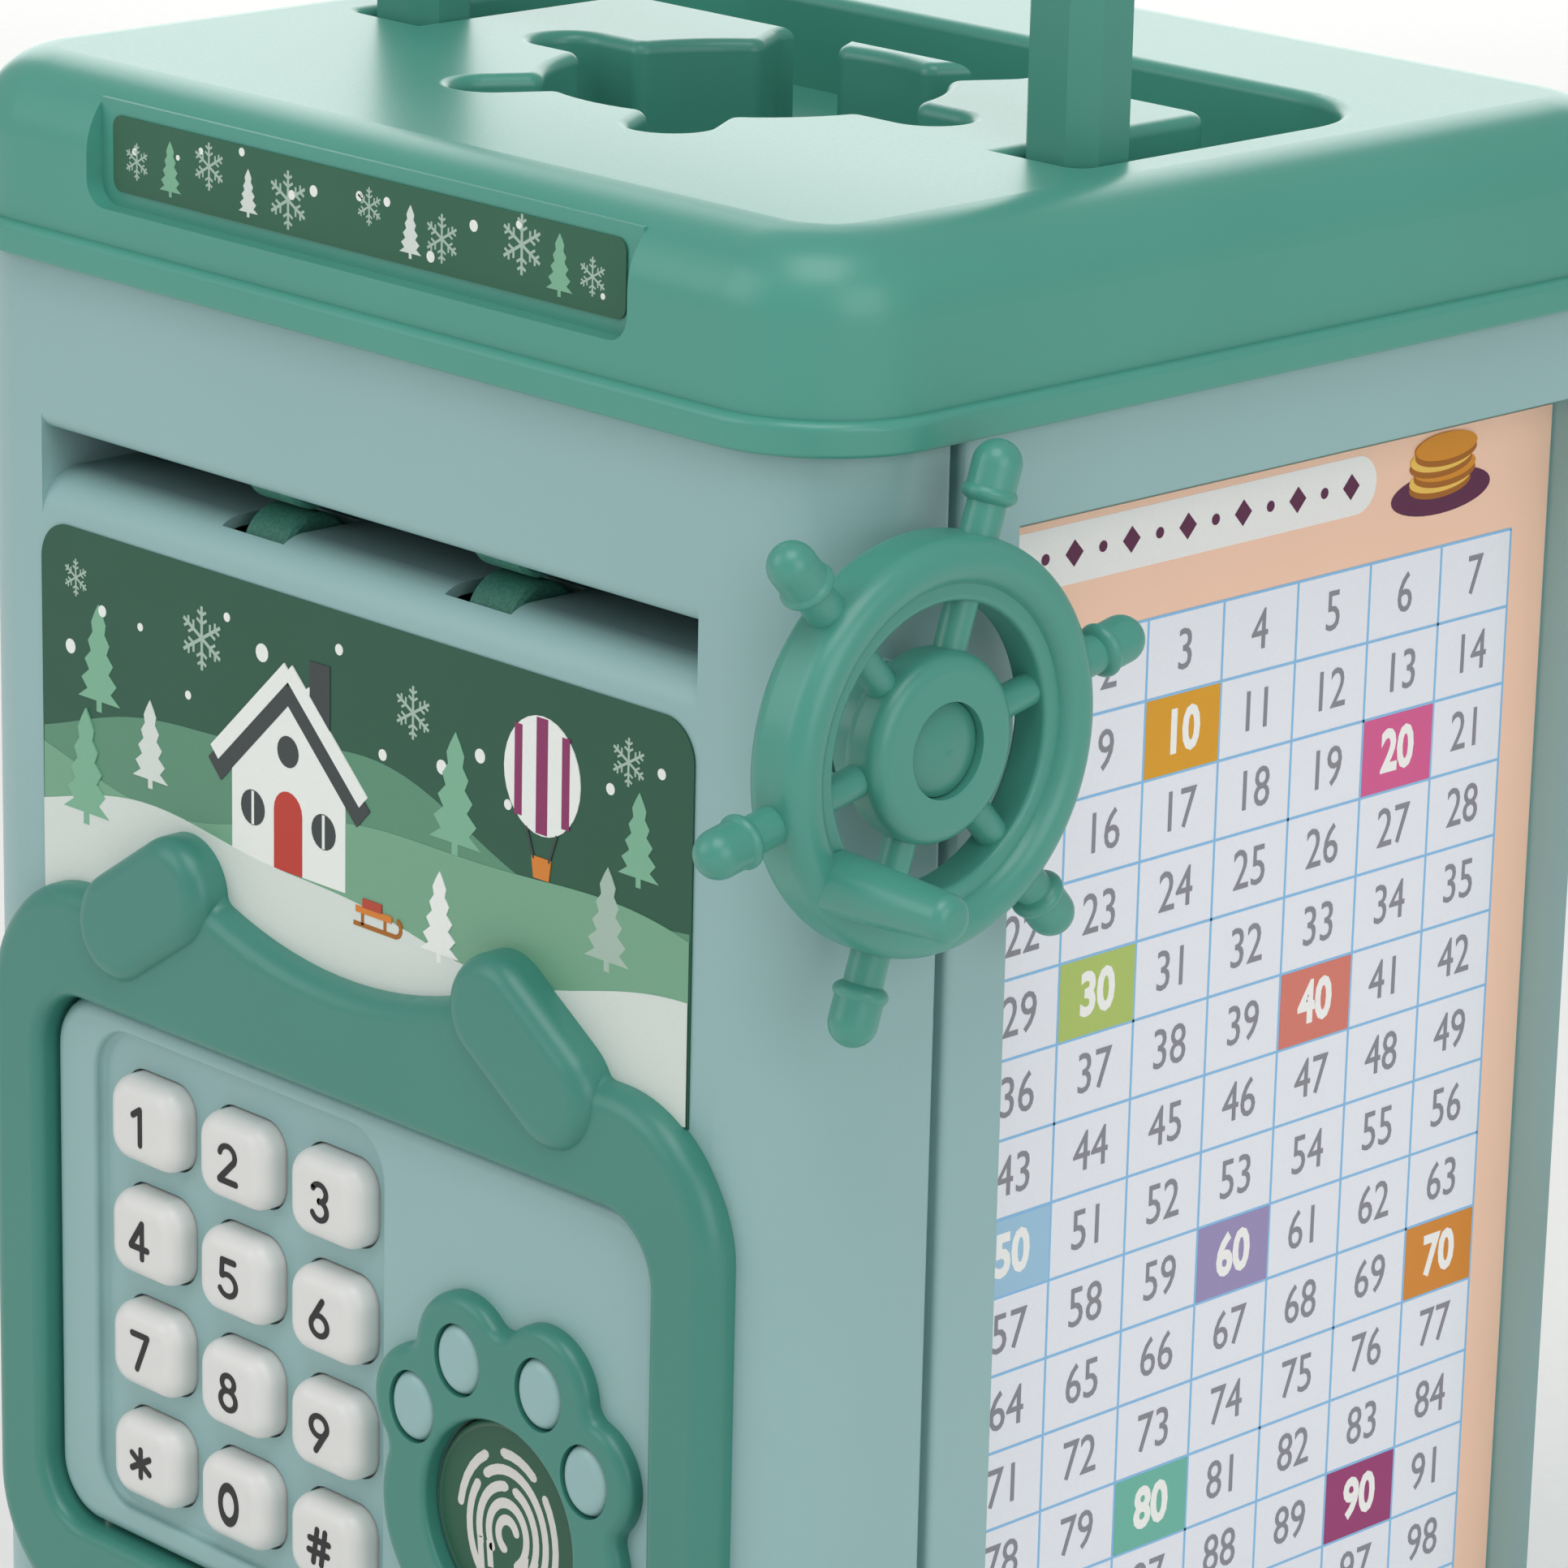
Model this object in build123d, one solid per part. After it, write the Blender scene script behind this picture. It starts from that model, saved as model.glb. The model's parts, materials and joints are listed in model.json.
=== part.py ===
from build123d import *
import math
import os

# A child's cash-machine money box in moulded plastic.
# Millimetres. X points right, Y points back and Z points up; the front faces -Y.
# The origin is the middle of the flat underside of the base.

# ---- casing ----
body_depth = 114.0        # front wall to rear wall
body_corner = 11.5        # plan radius of the upright corners
wall = 2.0                # moulded wall of the casings
overhang = 2.0            # how far base and lid stand out past the body
fit_gap = 0.3             # gap between casings that plug together
running_gap = 0.06        # radial gap of a shaft or pin that turns
press_gap = 0.02          # radial gap of a hub pushed onto its shaft
base_height = 12.0
base_floor = 2.5
body_bottom = 4.0         # lower edge of the body, standing inside the base
lid_rim_z = 166.0         # lower edge of the lid
lid_height = 19.0
body_top = 170.0          # upper edge of the body, hidden inside the lid
housing_depth = 16.6      # front wall to the rear edge of the front housing
split_gap = 1.2           # shadow gap between front housing and body shell
edge_round = 0.8          # small radius on moulded edges
tongue_reach = 3.6        # tongue of the shell inside the front housing
tongue_wall = 1.6
tongue_gap = 0.2
lug_thickness = 2.4       # screw lugs of the shell

# ---- side panels ----
recess_depth = 7.4        # side panel below the flange
recess_front_inset = 25.3 # body front to the panel
recess_back_inset = 5.0   # panel to the body's rear face
recess_bottom_z = 18.5
recess_top_z = 154.0
recess_slope = 2.6        # rise of the slanted ledge over the panel
sticker = 0.2             # thickness of every printed sheet
chart_margin = 0.3

# ---- note slot and rollers ----
slot_side_margin = 14.7   # end of the note slot to the body's side
slot_height = 4.4         # ramp to the slot's upper edge
ramp_rise = 2.9           # middle of the drive shaft to the ramp
ramp_wall = 1.2
ramp_depth = 13.0         # body front to the rear edge of the ramp
lip_radius = 4.5
slot_end_wall = 1.2
shaft_depth = 6.8         # body front to the middle of the shafts
shaft_z = 141.5
shaft_radius = 1.5
drive_roller_radius = 4.3
idler_roller_radius = 4.0
roller_width = 6.6
roller_x = 16.2
note_gap = 0.4            # space between the two rollers of a pair
shaft_clearance = 0.5     # free space around both shafts in the slot's end walls
bush_radius = 2.6
wall_bush_radius = 3.5
wheel_collar_radius = 6.2 # collar in the side wall around the shaft
bridge_thickness = 2.0    # cross wall of the roller bracket
bridge_gap = 1.8          # cross wall to the rear edge of the front housing
roller_window_gap = 0.5
window_inner = 1.6        # extra window length on the left of each roller

# ---- crank wheel ----
wheel_stand_out = 7.0     # body side to the middle of the wheel
rim_outer = 18.9
rim_inner = 13.1
rim_tube = 4.3            # radial width of the round outer tube
rim_thickness = 7.0
rim_step_thickness = 4.2
hub_radius = 8.7
hub_front = 2.9           # wheel middle to the hub's front
hub_back = 2.0            # wheel middle to the back of the thick hub
hub_round = 1.6
hub_neck_radius = 6.4
spoke_radius = 1.5
grip_count = 6
grip_angle = 11.5         # degrees from +Y towards +Z
grip_tip = 27.4
grip_shaft_radius = 1.8
grip_bead_radius = 2.55
grip_bead_at = 22.5
grip_ball_radius = 2.25
peg_root_radius = 2.9
peg_tip_radius = 2.15
peg_length = 14.3
peg_turn = 206.0          # degrees from the first grip round to the winding peg
peg_reach = 15.7
cap_radius = 4.3
cap_pocket = 1.6

# ---- lid ----
lid_lip_height = 3.2
lid_step = 1.0            # lip stands this far past the lid wall
lid_top_round = 7.5
label_pocket_width = 76.4
label_side_gap = 2.0      # label's end to the pocket's end
label_height = 7.4
label_z = 177.9
label_pocket_bottom = 172.7
label_pocket_depth = 1.9
well_y = -7.2
well_radius = 19.5
well_lug_reach = 29.0
well_lug_width = 7.6
well_lug_blend = 1.6      # hollow radius where a lug leaves the ring
pocket_rim_round = 1.2    # rounded rim of well and handle channel
well_depth = 13.2
pocket_wall = 1.8
coin_slot_length = 32.0
coin_slot_width = 4.6
post_radius = 3.0
pilot_radius = 1.0
small_pilot_radius = 0.8

# ---- handle ----
handle_side_margin = 11.5 # body side to the outer face of a leg
handle_leg_width = 9.2
handle_leg = 8.4          # thickness of a leg, front to back
handle_reach = 38.2       # pivot to the outer edge of the grip
handle_grip = 10.0        # height of the grip bar
handle_corner = 12.0
handle_chamfer = 2.2
pivot_y = -8.7
pivot_z = 179.6
stub_radius = 2.0
stub_length = 1.6
channel_gap = 0.3
channel_floor_gap = 0.3
channel_finger_gap = 4.2  # free space in front of the folded grip

# ---- door frame and door ----
frame_side_margin = 8.6   # body side to the frame's edge
frame_top_z = 103.7
frame_bottom_z = 24.0
frame_corner = 14.0
frame_proud = 3.2
frame_edge_round = 2.4
frame_rim_round = 1.2
collar_wall = 2.5
collar_depth = 4.0
frame_border = 8.1        # frame's edge to the opening
opening_top_z = 92.2
opening_bottom_z = 35.0
opening_corner = 6.5
brow_radius = 50.0        # shallow hollow of the frame's top between the ears
brow_half_width = 19.0
ear_x = 27.7
ear_z = 104.3
ear_length = 21.2
ear_width = 11.2
ear_tilt = 34.0           # degrees that the outer end of an ear hangs down
ear_proud = 1.3
ear_edge_round = 2.2
ear_blend = 1.2           # hollow radius between an ear and the frame
door_gap = 0.4
door_proud = 1.2          # door face in front of the front wall
door_plate = 2.2
door_side_inset = 3.4
door_end_inset = 1.2
door_wall = 1.8
door_box_corner = 5.0
door_depth = 23.9         # door face to the rear edge of its walls
door_cover = 1.6
hinge_pin_radius = 1.0
hinge_pin_depth = 2.9     # how far a pin reaches into its boss
hinge_inset = 6.5         # edge of the opening to the hinge pins
hinge_boss_height = 3.7
hinge_boss_inset = 0.3    # bosses end this far inside the door's ends
keypad_recess = 1.2
keypad_inset = 6.9        # edge of the opening to the keypad recess
keypad_top_z = 89.6
keypad_bottom_z = 38.6
keypad_corner = 5.0
keypad_floor_round = 0.6
keypad_rim_round = 0.5

# ---- keys ----
key_rows = 4
key_columns = 3
key_pitch_x = 13.87
key_pitch_z = 12.0
key_width = 10.6
key_left_margin = 3.9     # left column to the edge of the recess
key_right_margin = 1.86   # right column to the edge of the recess
key_first_z = 81.4
key_height = 8.9
key_corner = 2.8
key_edge_round = 2.0
key_proud = 1.8           # key top in front of the door face
key_gap = 0.25
key_flange = 0.8
key_flange_thickness = 1.0
key_flange_seat = 0.3
key_travel = 1.2

# ---- paw scanner ----
paw_keypad_gap = 0.7      # keypad recess to the outer toe
paw_edge_gap = 2.0        # outer toe to the edge of the opening
paw_heel_z = 54.5
paw_heel_width = 34.0
paw_heel_height = 28.0
paw_thickness = 2.0
paw_edge_round = 1.3
paw_lobe_blend = 2.0       # hollow radius between the lobes
outer_toe_x = 12.15       # from the paw's middle
outer_toe_z = 64.6
outer_toe_lobe = 6.0
inner_toe_x = 5.7
inner_toe_z = 71.3
inner_toe_lobe = 6.5
toe_width = 6.5
toe_height = 7.3
toe_proud = 0.2
toe_edge_round = 1.4
scanner_z = 56.0
scanner_radius = 10.2
scanner_gap = 0.3
scanner_recess = 1.6
scanner_rim_round = 0.6
scanner_flange = 1.2
scanner_travel = 0.8

# ---- electronics inside the door ----
board_depth = 6.0         # door face to the front of the circuit board
board_thickness = 1.6
board_screw_left_inset = 22.5   # edge of the opening to the board screws
board_screw_right_inset = 8.5
board_screw_low_z = 41.0
board_screw_high_z = 85.6
board_post_radius = 2.2
mat_thickness = 1.0
mat_margin = 1.1          # sheet past the outer keys
cell_radius = 7.1
cell_length = 50.5
cell_nub = 1.5
cell_pitch = 14.8
cell_depth = 16.2         # door face to the middle of the cells
cell_first_z = 48.0
cell_inset = 9.1          # edge of the opening to the cells
tray_wall = 1.0
solenoid_inset = 13.9     # edge of the opening to the magnet's right end
solenoid_length = 11.8
solenoid_size = 12.6
bolt_depth = 14.2         # door face to the middle of the bolt
bolt_z = 50.0
bolt_thickness = 5.0
bolt_height = 9.0
bolt_tip_inset = 3.9      # edge of the opening to the drawn-back bolt
bolt_rod_radius = 2.0
bolt_travel = 7.0
keeper_gap = 0.5          # strike plate to the bolt
keeper_thickness = 1.6
keeper_width = 9.6
keeper_edge_gap = 1.1     # edge of the opening to the strike plate
speaker_inset = 16.0      # edge of the opening to the speaker's middle
speaker_z = 77.0
speaker_radius = 8.5
speaker_thickness = 4.5

# ---- screws ----
screw_radius = 0.9
screw_head_radius = 2.2
screw_head_height = 1.3
base_screw_sink = 0.4     # screw heads in the base lie this far above the ground
boss_inset = 7.0          # body side to the screws near the corners
boss_back_inset = 8.5     # body rear to the rear screws
boss_front_gap = 7.2      # front housing to the front screws
housing_screw_inset = 7.2
housing_screw_low_z = 26.0
housing_screw_high_z = 158.0
bracket_screw_inset = 8.5 # roller bracket's cheek to its screws
bracket_screw_z = 160.5
frame_screw_x = 20.0
frame_screw_low_z = 28.0
frame_screw_high_z = 99.5
keeper_screw_inset = 8.5
keeper_screw_reach = 6.0  # keeper screws above and below the bolt
battery_screw_gap = 2.3
small_screw_radius = 0.78
base_screw_length = 9.0
lid_screw_length = 10.0
housing_screw_length = 10.0
frame_screw_length = 3.7
bracket_screw_length = 7.0
keeper_screw_length = 6.0
board_screw_length = 4.4
battery_screw_length = 6.0
pilot_end_gap = 1.0       # free depth past the tip of a keeper screw

# ---- sizes that follow from those above ----
keypad_width = (key_columns - 1) * key_pitch_x + key_width + key_left_margin + key_right_margin
paw_width = 2 * (outer_toe_x + outer_toe_lobe)
opening_width = keypad_inset + keypad_width + paw_keypad_gap + paw_width + paw_edge_gap
opening_half_width = opening_width / 2
frame_half_width = opening_half_width + frame_border
half_width = frame_half_width + frame_side_margin
body_width = 2 * half_width
half_depth = body_depth / 2
front_y = -half_depth
split_y = front_y + housing_depth
panel_x = half_width - recess_depth
recess_front_y = front_y + recess_front_inset
recess_back_y = half_depth - recess_back_inset
slot_width = body_width - 2 * slot_side_margin
ramp_back_y = front_y + ramp_depth
ramp_top_z = shaft_z + ramp_rise
slot_top_z = ramp_top_z + slot_height
shaft_y = front_y + shaft_depth
wheel_mid_x = half_width + wheel_stand_out
hub_front_x = wheel_mid_x + hub_front
hub_neck_x = wheel_mid_x - hub_back
handle_outer = body_width - 2 * handle_side_margin
boss_x = half_width - boss_inset
boss_front_y = split_y + boss_front_gap
boss_back_y = half_depth - boss_back_inset
housing_screw_x = half_width - housing_screw_inset
door_face_y = front_y - door_proud
door_back_y = door_face_y + door_depth
hinge_x = hinge_inset - opening_half_width
keypad_left_x = keypad_inset - opening_half_width
keypad_right_x = keypad_left_x + keypad_width
key_first_x = keypad_left_x + key_left_margin + key_width / 2
key_front_y = door_face_y - key_proud
paw_x = opening_half_width - paw_edge_gap - paw_width / 2
board_y = door_face_y + board_depth
board_screw_left_x = opening_half_width - board_screw_left_inset
board_screw_right_x = opening_half_width - board_screw_right_inset
cell_y = door_face_y + cell_depth
cell_left_x = cell_inset - opening_half_width
solenoid_right_x = opening_half_width - solenoid_inset
solenoid_left_x = solenoid_right_x - solenoid_length
bolt_y = door_face_y + bolt_depth
bolt_tip_x = opening_half_width - bolt_tip_inset
speaker_x = opening_half_width - speaker_inset
lid_top_z = lid_rim_z + lid_height
lid_half_width = half_width + overhang - lid_step
lid_half_depth = half_depth + overhang - lid_step
shell_front_y = split_y + split_gap
idler_z = shaft_z + drive_roller_radius + note_gap + idler_roller_radius
label_width = label_pocket_width - 2 * label_side_gap
well_floor_z = lid_top_z - well_depth
channel_half_width = handle_outer / 2 + channel_gap
island_half_width = handle_outer / 2 - handle_leg_width - channel_gap
channel_floor_z = pivot_z - handle_leg / 2 - channel_floor_gap
channel_front_y = pivot_y - handle_leg / 2 - 0.7
channel_back_y = pivot_y + handle_reach + 0.5
island_back_y = pivot_y + handle_reach - handle_grip - channel_finger_gap
door_half_width = opening_half_width - door_gap
door_top_z = opening_top_z - door_gap
door_bottom_z = opening_bottom_z + door_gap
door_plate_back_y = door_face_y + door_plate
door_mid_z = (door_top_z + door_bottom_z) / 2
door_height = door_top_z - door_bottom_z
box_half_width = door_half_width - door_side_inset
box_height = door_height - 2 * door_end_inset
keypad_floor_y = door_face_y + keypad_recess
key_flange_y = door_plate_back_y + key_flange_seat
bezel_face_y = door_face_y - paw_thickness
tray_left_x = cell_left_x - 2.2 - tray_wall
tray_right_x = cell_left_x + cell_length + 2.2 + tray_wall
tray_bottom_z = cell_first_z - cell_pitch / 2 - 0.2 - tray_wall
tray_height = 3 * cell_pitch + 0.4 + 2 * tray_wall
tray_floor_y = board_y + board_thickness + 0.4
collar_half_width = opening_half_width + collar_wall
collar_bottom_z = opening_bottom_z - collar_wall
collar_top_z = opening_top_z + collar_wall
cheek_x = slot_width / 2 + slot_end_wall + fit_gap
cheek_wall = 2.5
bracket_screw_x = cheek_x - bracket_screw_inset
keeper_screw_x = half_width - keeper_screw_inset
battery_screw_x = tray_right_x + battery_screw_gap
beyond = 2 * (body_width + lid_top_z)    # farther out than anything in the model


# ---- drawing helpers ----
def box(x0, x1, y0, y1, z0, z1):
    """A block between the given limits."""
    middle = Pos((x0 + x1) / 2, (y0 + y1) / 2, (z0 + z1) / 2)
    return middle * Box(x1 - x0, y1 - y0, z1 - z0)


def upright(sketch, z0, z1):
    """A plan sketch drawn in X and Y, pulled up from z0 to z1."""
    return extrude(Pos(0, 0, z0) * sketch, amount=z1 - z0)


def facing(sketch, y0, y1):
    """A front view sketch drawn in X and Z, filling y0 (front) to y1 (back)."""
    plane = Plane(origin=(0, y1, 0), x_dir=(1, 0, 0), z_dir=(0, -1, 0))
    return extrude(plane * sketch, amount=y1 - y0)


def sideways(sketch, x0, x1):
    """A side view sketch drawn in Y and Z, filling x0 to x1."""
    return extrude(Plane.YZ.offset(x0) * sketch, amount=x1 - x0)


def cross_rod(y, z, radius, x0, x1):
    """A round rod along X."""
    return sideways(Pos(y, z) * Circle(radius), x0, x1)


def deep_rod(x, z, radius, y0, y1):
    """A round rod along Y."""
    return facing(Pos(x, z) * Circle(radius), y0, y1)


def post(x, y, radius, z0, z1):
    """A round rod along Z."""
    return upright(Pos(x, y) * Circle(radius), z0, z1)


def casing(inset, z0, z1):
    """The body's plan outline, moved in by inset and pulled up."""
    outline = RectangleRounded(body_width - 2 * inset, body_depth - 2 * inset, body_corner - inset)
    return upright(outline, z0, z1)


def both_sides(shape):
    """The shape and its mirror image across the middle."""
    return shape + mirror(shape, about=Plane.YZ)


def screw(length, radius=screw_radius):
    """A pan-head screw along Z: head above zero, shank below."""
    head = Pos(0, 0, screw_head_height / 2) * Cylinder(screw_head_radius, screw_head_height)
    head = fillet(head.faces().sort_by(Axis.Z)[-1].edges(), 0.5)
    shank = Pos(0, 0, -length / 2) * Cylinder(radius, length)
    slot = Pos(0, 0, screw_head_height) * Box(2.6, 0.6, 1.0)
    slot += Pos(0, 0, screw_head_height) * Box(0.6, 2.6, 1.0)
    return head + shank - slot


def screws_at(places, rotation, length):
    """The same screw at several places, kept as separate solids."""
    return Compound(children=[Pos(*place) * rotation * screw(length) for place in places])


# ---- body ----
def side_recess(grow):
    """The sunk side panel on the right, enlarged by grow for the shell's inner wall."""
    depth = recess_depth + grow
    outer_x = half_width + 5
    inner_x = half_width - depth
    top = recess_top_z + grow
    profile = Polyline(
        (inner_x, recess_bottom_z - grow),
        (outer_x, recess_bottom_z - grow),
        (outer_x, top + recess_slope * (5 + depth) / depth),
        (inner_x, top),
        close=True,
    )
    plane = Plane(origin=(0, recess_back_y + grow, 0), x_dir=(1, 0, 0), z_dir=(0, -1, 0))
    length = recess_back_y - recess_front_y + 2 * grow
    return extrude(plane * make_face(profile), amount=length)


def soft_hole(outline, y0, y1, radius):
    """An opening in a front wall from y0 back to y1, with its front rim rounded outwards."""
    block = facing(Pos(0, body_top / 2) * Rectangle(body_width, body_top), y0, y1)
    plate = block - facing(outline, y0 - 1, y1 + 1)
    rim = plate.faces().sort_by(Axis.Y)[0].inner_wires()[0].edges()
    return block - fillet(rim, radius)


def body_shell():
    """Both side walls and the rear wall, open at the front, top and bottom."""
    back_half = box(-beyond, beyond, shell_front_y, beyond, 0, beyond)
    outer = (casing(0, body_bottom, body_top) & back_half) - both_sides(side_recess(0))
    hollow = casing(wall, 0, beyond) - both_sides(side_recess(wall))
    shell = outer - hollow
    tongue_outer = wall + tongue_gap
    tongue = casing(tongue_outer, body_bottom, body_top) - casing(tongue_outer + tongue_wall, 0, beyond)
    tongue &= box(-beyond, beyond, shell_front_y - tongue_reach, shell_front_y + 1.5, 0, beyond)
    root = casing(wall / 2, body_bottom, body_top) - casing(tongue_outer + tongue_wall, 0, beyond)
    root &= box(-beyond, beyond, shell_front_y, shell_front_y + 1.5, 0, beyond)
    shell += tongue + root
    for z in (housing_screw_low_z, housing_screw_high_z):
        lug_front_y = shell_front_y - lug_thickness
        lug = box(housing_screw_x - 4, half_width - wall - 0.8, lug_front_y, shell_front_y, z - 5, z + 5)
        lug -= deep_rod(housing_screw_x, z, screw_radius + 0.3, split_y - 5, shell_front_y + 5)
        shell += both_sides(lug)
    inner_x = half_width - wall / 2
    front_shelf = (boss_front_y, shell_front_y, boss_front_y + 5)
    back_shelf = (boss_back_y, boss_back_y - 4.5, half_depth - wall / 2)
    for y, y0, y1 in (front_shelf, back_shelf):
        shelf = box(boss_x - 4.5, inner_x, y0, y1, lid_rim_z - 2.7, lid_rim_z - 0.2)
        shelf &= casing(wall / 2, 0, beyond)
        shelf -= post(boss_x, y, screw_radius + 0.3, lid_rim_z - 5, lid_rim_z + 5)
        shell += both_sides(shelf)
        foot = box(boss_x, inner_x, y - 3, y + 3, body_bottom + 2, base_height)
        foot += post(boss_x, y, 3.5, body_bottom, base_height)
        foot -= post(boss_x, y, pilot_radius, 0, base_height - 1)
        shell += both_sides(foot & casing(wall / 2, 0, beyond))
    front_edges = [
        edge
        for edge in shell.edges().filter_by(Axis.Z)
        if abs(edge.center().Y - shell_front_y) < 0.01 and abs(abs(edge.center().X) - half_width) < 0.01
    ]
    return fillet(front_edges, edge_round)


def base():
    """The tray that the body and the front housing stand in."""
    outline = RectangleRounded(body_width + 2 * overhang, body_depth + 2 * overhang, body_corner + overhang)
    tray = upright(outline, 0, base_height)
    tray = fillet(tray.faces().sort_by(Axis.Z)[0].edges(), 1.6)
    tray = fillet(tray.faces().sort_by(Axis.Z)[-1].edges(), edge_round)
    tray -= casing(-fit_gap / 2, body_bottom, base_height + 1)
    tray -= casing(wall + 1.5, base_floor, base_height)
    for x in (-boss_x, boss_x):
        for y in (boss_front_y, boss_back_y):
            tray += post(x, y, 4.5, 0.5, body_bottom)
            tray -= post(x, y, screw_radius + 0.3, -1, base_height)
            tray -= post(x, y, screw_head_radius + 0.3, -1, screw_head_height + base_screw_sink)
    return tray


def front_housing():
    """The front wall with the note slot, its rounded lip and the roller ramp."""
    front_half = box(-beyond, beyond, -beyond, split_y, 0, beyond)
    housing = (casing(0, body_bottom, body_top) & front_half) - casing(wall, 0, beyond)
    opening = door_outline(collar_half_width + 0.2, collar_bottom_z - 0.2, collar_top_z + 0.2, 9.0)
    housing -= facing(opening, front_y - 1, front_y + 4)
    housing -= slot_cut()
    housing += note_ramp()
    for z in (shaft_z, idler_z):
        housing -= cross_rod(shaft_y, z, shaft_radius + shaft_clearance, -cheek_x, cheek_x)
    for x in (-roller_x, roller_x):
        housing -= roller_window(x)
    for z in (housing_screw_low_z, housing_screw_high_z):
        column = deep_rod(housing_screw_x, z, post_radius, front_y + wall / 2, split_y - 1.3)
        column -= deep_rod(housing_screw_x, z, pilot_radius, split_y - housing_screw_length, split_y)
        housing += both_sides(column & casing(wall / 2, 0, beyond))
    bridge_y = split_y - bridge_gap - bridge_thickness
    column = deep_rod(bracket_screw_x, bracket_screw_z, post_radius, front_y + wall / 2, bridge_y)
    bracket_pilot_y = bridge_y - bracket_screw_length
    column -= deep_rod(bracket_screw_x, bracket_screw_z, pilot_radius, bracket_pilot_y, split_y)
    housing += both_sides(column)
    keeper_front_y = bolt_y - bolt_thickness / 2 - keeper_gap - keeper_thickness
    for z in (bolt_z - keeper_screw_reach, bolt_z + keeper_screw_reach):
        column = deep_rod(keeper_screw_x, z, 2.3, front_y + wall / 2, keeper_front_y)
        tip_y = keeper_front_y + keeper_thickness - keeper_screw_length
        column -= deep_rod(keeper_screw_x, z, pilot_radius, tip_y - pilot_end_gap, split_y)
        housing += column & casing(wall / 2, 0, beyond)
    housing += cross_rod(shaft_y, shaft_z, wheel_collar_radius, half_width - 4.5, half_width + 1.2)
    housing -= cross_rod(shaft_y, shaft_z, wall_bush_radius, half_width - 9, half_width + 5)
    for x, z in frame_screw_places():
        housing -= deep_rod(x, z, screw_radius + 0.2, front_y - 1, front_y + 4)
    rear_edges = [
        edge
        for edge in housing.edges().filter_by(Axis.Z)
        if abs(edge.center().Y - split_y) < 0.01 and abs(abs(edge.center().X) - half_width) < 0.01
    ]
    return fillet(rear_edges, edge_round)


def slot_cut():
    """The note slot, with its upper edge rounded inwards."""
    round_in = 1.6
    half = slot_width / 2
    straight = box(-half, half, front_y - 1, front_y + 4, ramp_top_z - lip_radius, slot_top_z)
    corner = Pos(front_y + round_in / 2, slot_top_z + round_in / 2) * Rectangle(round_in, round_in)
    corner -= Pos(front_y + round_in, slot_top_z + round_in) * Circle(round_in)
    return straight + sideways(corner, -half, half)


def note_ramp():
    """The lip that curves in under the slot and the flat ramp behind it."""
    lip_y = front_y + lip_radius
    lip_z = ramp_top_z - lip_radius
    inner_radius = lip_radius - ramp_wall
    bend = Circle(lip_radius) - Circle(inner_radius)
    bend &= Pos(-lip_radius / 2, lip_radius / 2) * Rectangle(lip_radius, lip_radius)
    half = slot_width / 2
    ramp = sideways(Pos(lip_y, lip_z) * bend, -half, half)
    ramp += box(-half, half, lip_y, ramp_back_y, ramp_top_z - ramp_wall, ramp_top_z)
    ramp += box(-half, half, front_y, front_y + wall, lip_z - 1, lip_z)
    end = box(half, half + slot_end_wall, front_y + wall / 2, ramp_back_y, lip_z - 1, slot_top_z + 1)
    tail = fillet(ramp.edges().filter_by(Axis.X).group_by(Axis.Y)[-1].group_by(Axis.Z)[-1], 1.0)
    return tail + both_sides(end)


def roller_window(x):
    """The opening in the ramp that one drive roller looks through."""
    left = x - roller_width / 2 - roller_window_gap - window_inner
    right = x + roller_width / 2 + roller_window_gap
    reach = drive_roller_radius + roller_window_gap
    return box(left, right, shaft_y - reach, shaft_y + reach, shaft_z - 4.5, slot_top_z + 1)


# ---- lid ----
def well_outline(grow):
    """Wheel-shaped well in the lid: a ring with six round-ended lugs."""
    shape = Circle(well_radius + grow)
    lug = SlotCenterToCenter(well_lug_reach - well_lug_width / 2, well_lug_width + 2 * grow)
    for turn in range(6):
        shape += Rot(0, 0, 60 * turn) * Pos((well_lug_reach - well_lug_width / 2) / 2, 0) * lug
    meeting = [
        corner
        for corner in shape.vertices()
        if abs(math.hypot(corner.X, corner.Y) - well_radius - grow) < 0.01
    ]
    return Pos(0, well_y) * fillet(meeting, well_lug_blend)


def channel_outline(grow):
    """U-shaped channel that the handle folds back into."""
    front = channel_front_y - grow
    back = channel_back_y + grow
    half = channel_half_width + grow
    whole = Pos(0, (front + back) / 2) * RectangleRounded(2 * half, back - front, 1.2 + grow)
    rear_corner = handle_corner + channel_gap + grow
    straight = back - front - rear_corner - 2
    rear = Pos(0, (front + back) / 2) * RectangleRounded(2 * half, back - front, rear_corner)
    cut = front + straight
    whole &= Pos(0, cut - beyond / 2) * Rectangle(beyond, beyond)
    whole += rear & Pos(0, cut + beyond / 2) * Rectangle(beyond, beyond)
    island_half = island_half_width - grow
    island_back = island_back_y - grow
    island = Pos(0, island_back - body_depth / 2) * RectangleRounded(2 * island_half, body_depth, 2.5)
    return whole - island


def soft_pocket(outline, floor_z):
    """The hollow below an outline in the lid's top, with its rim rounded outwards."""
    block = upright(Rectangle(2 * lid_half_width - 4, 2 * lid_half_depth - 4), floor_z, lid_top_z)
    plate = block - upright(outline, floor_z - 1, lid_top_z + 1)
    top = plate.faces().sort_by(Axis.Z)[-1]
    rim = [edge for wire in top.inner_wires() for edge in wire.edges()]
    return block - fillet(rim, pocket_rim_round)


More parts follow.
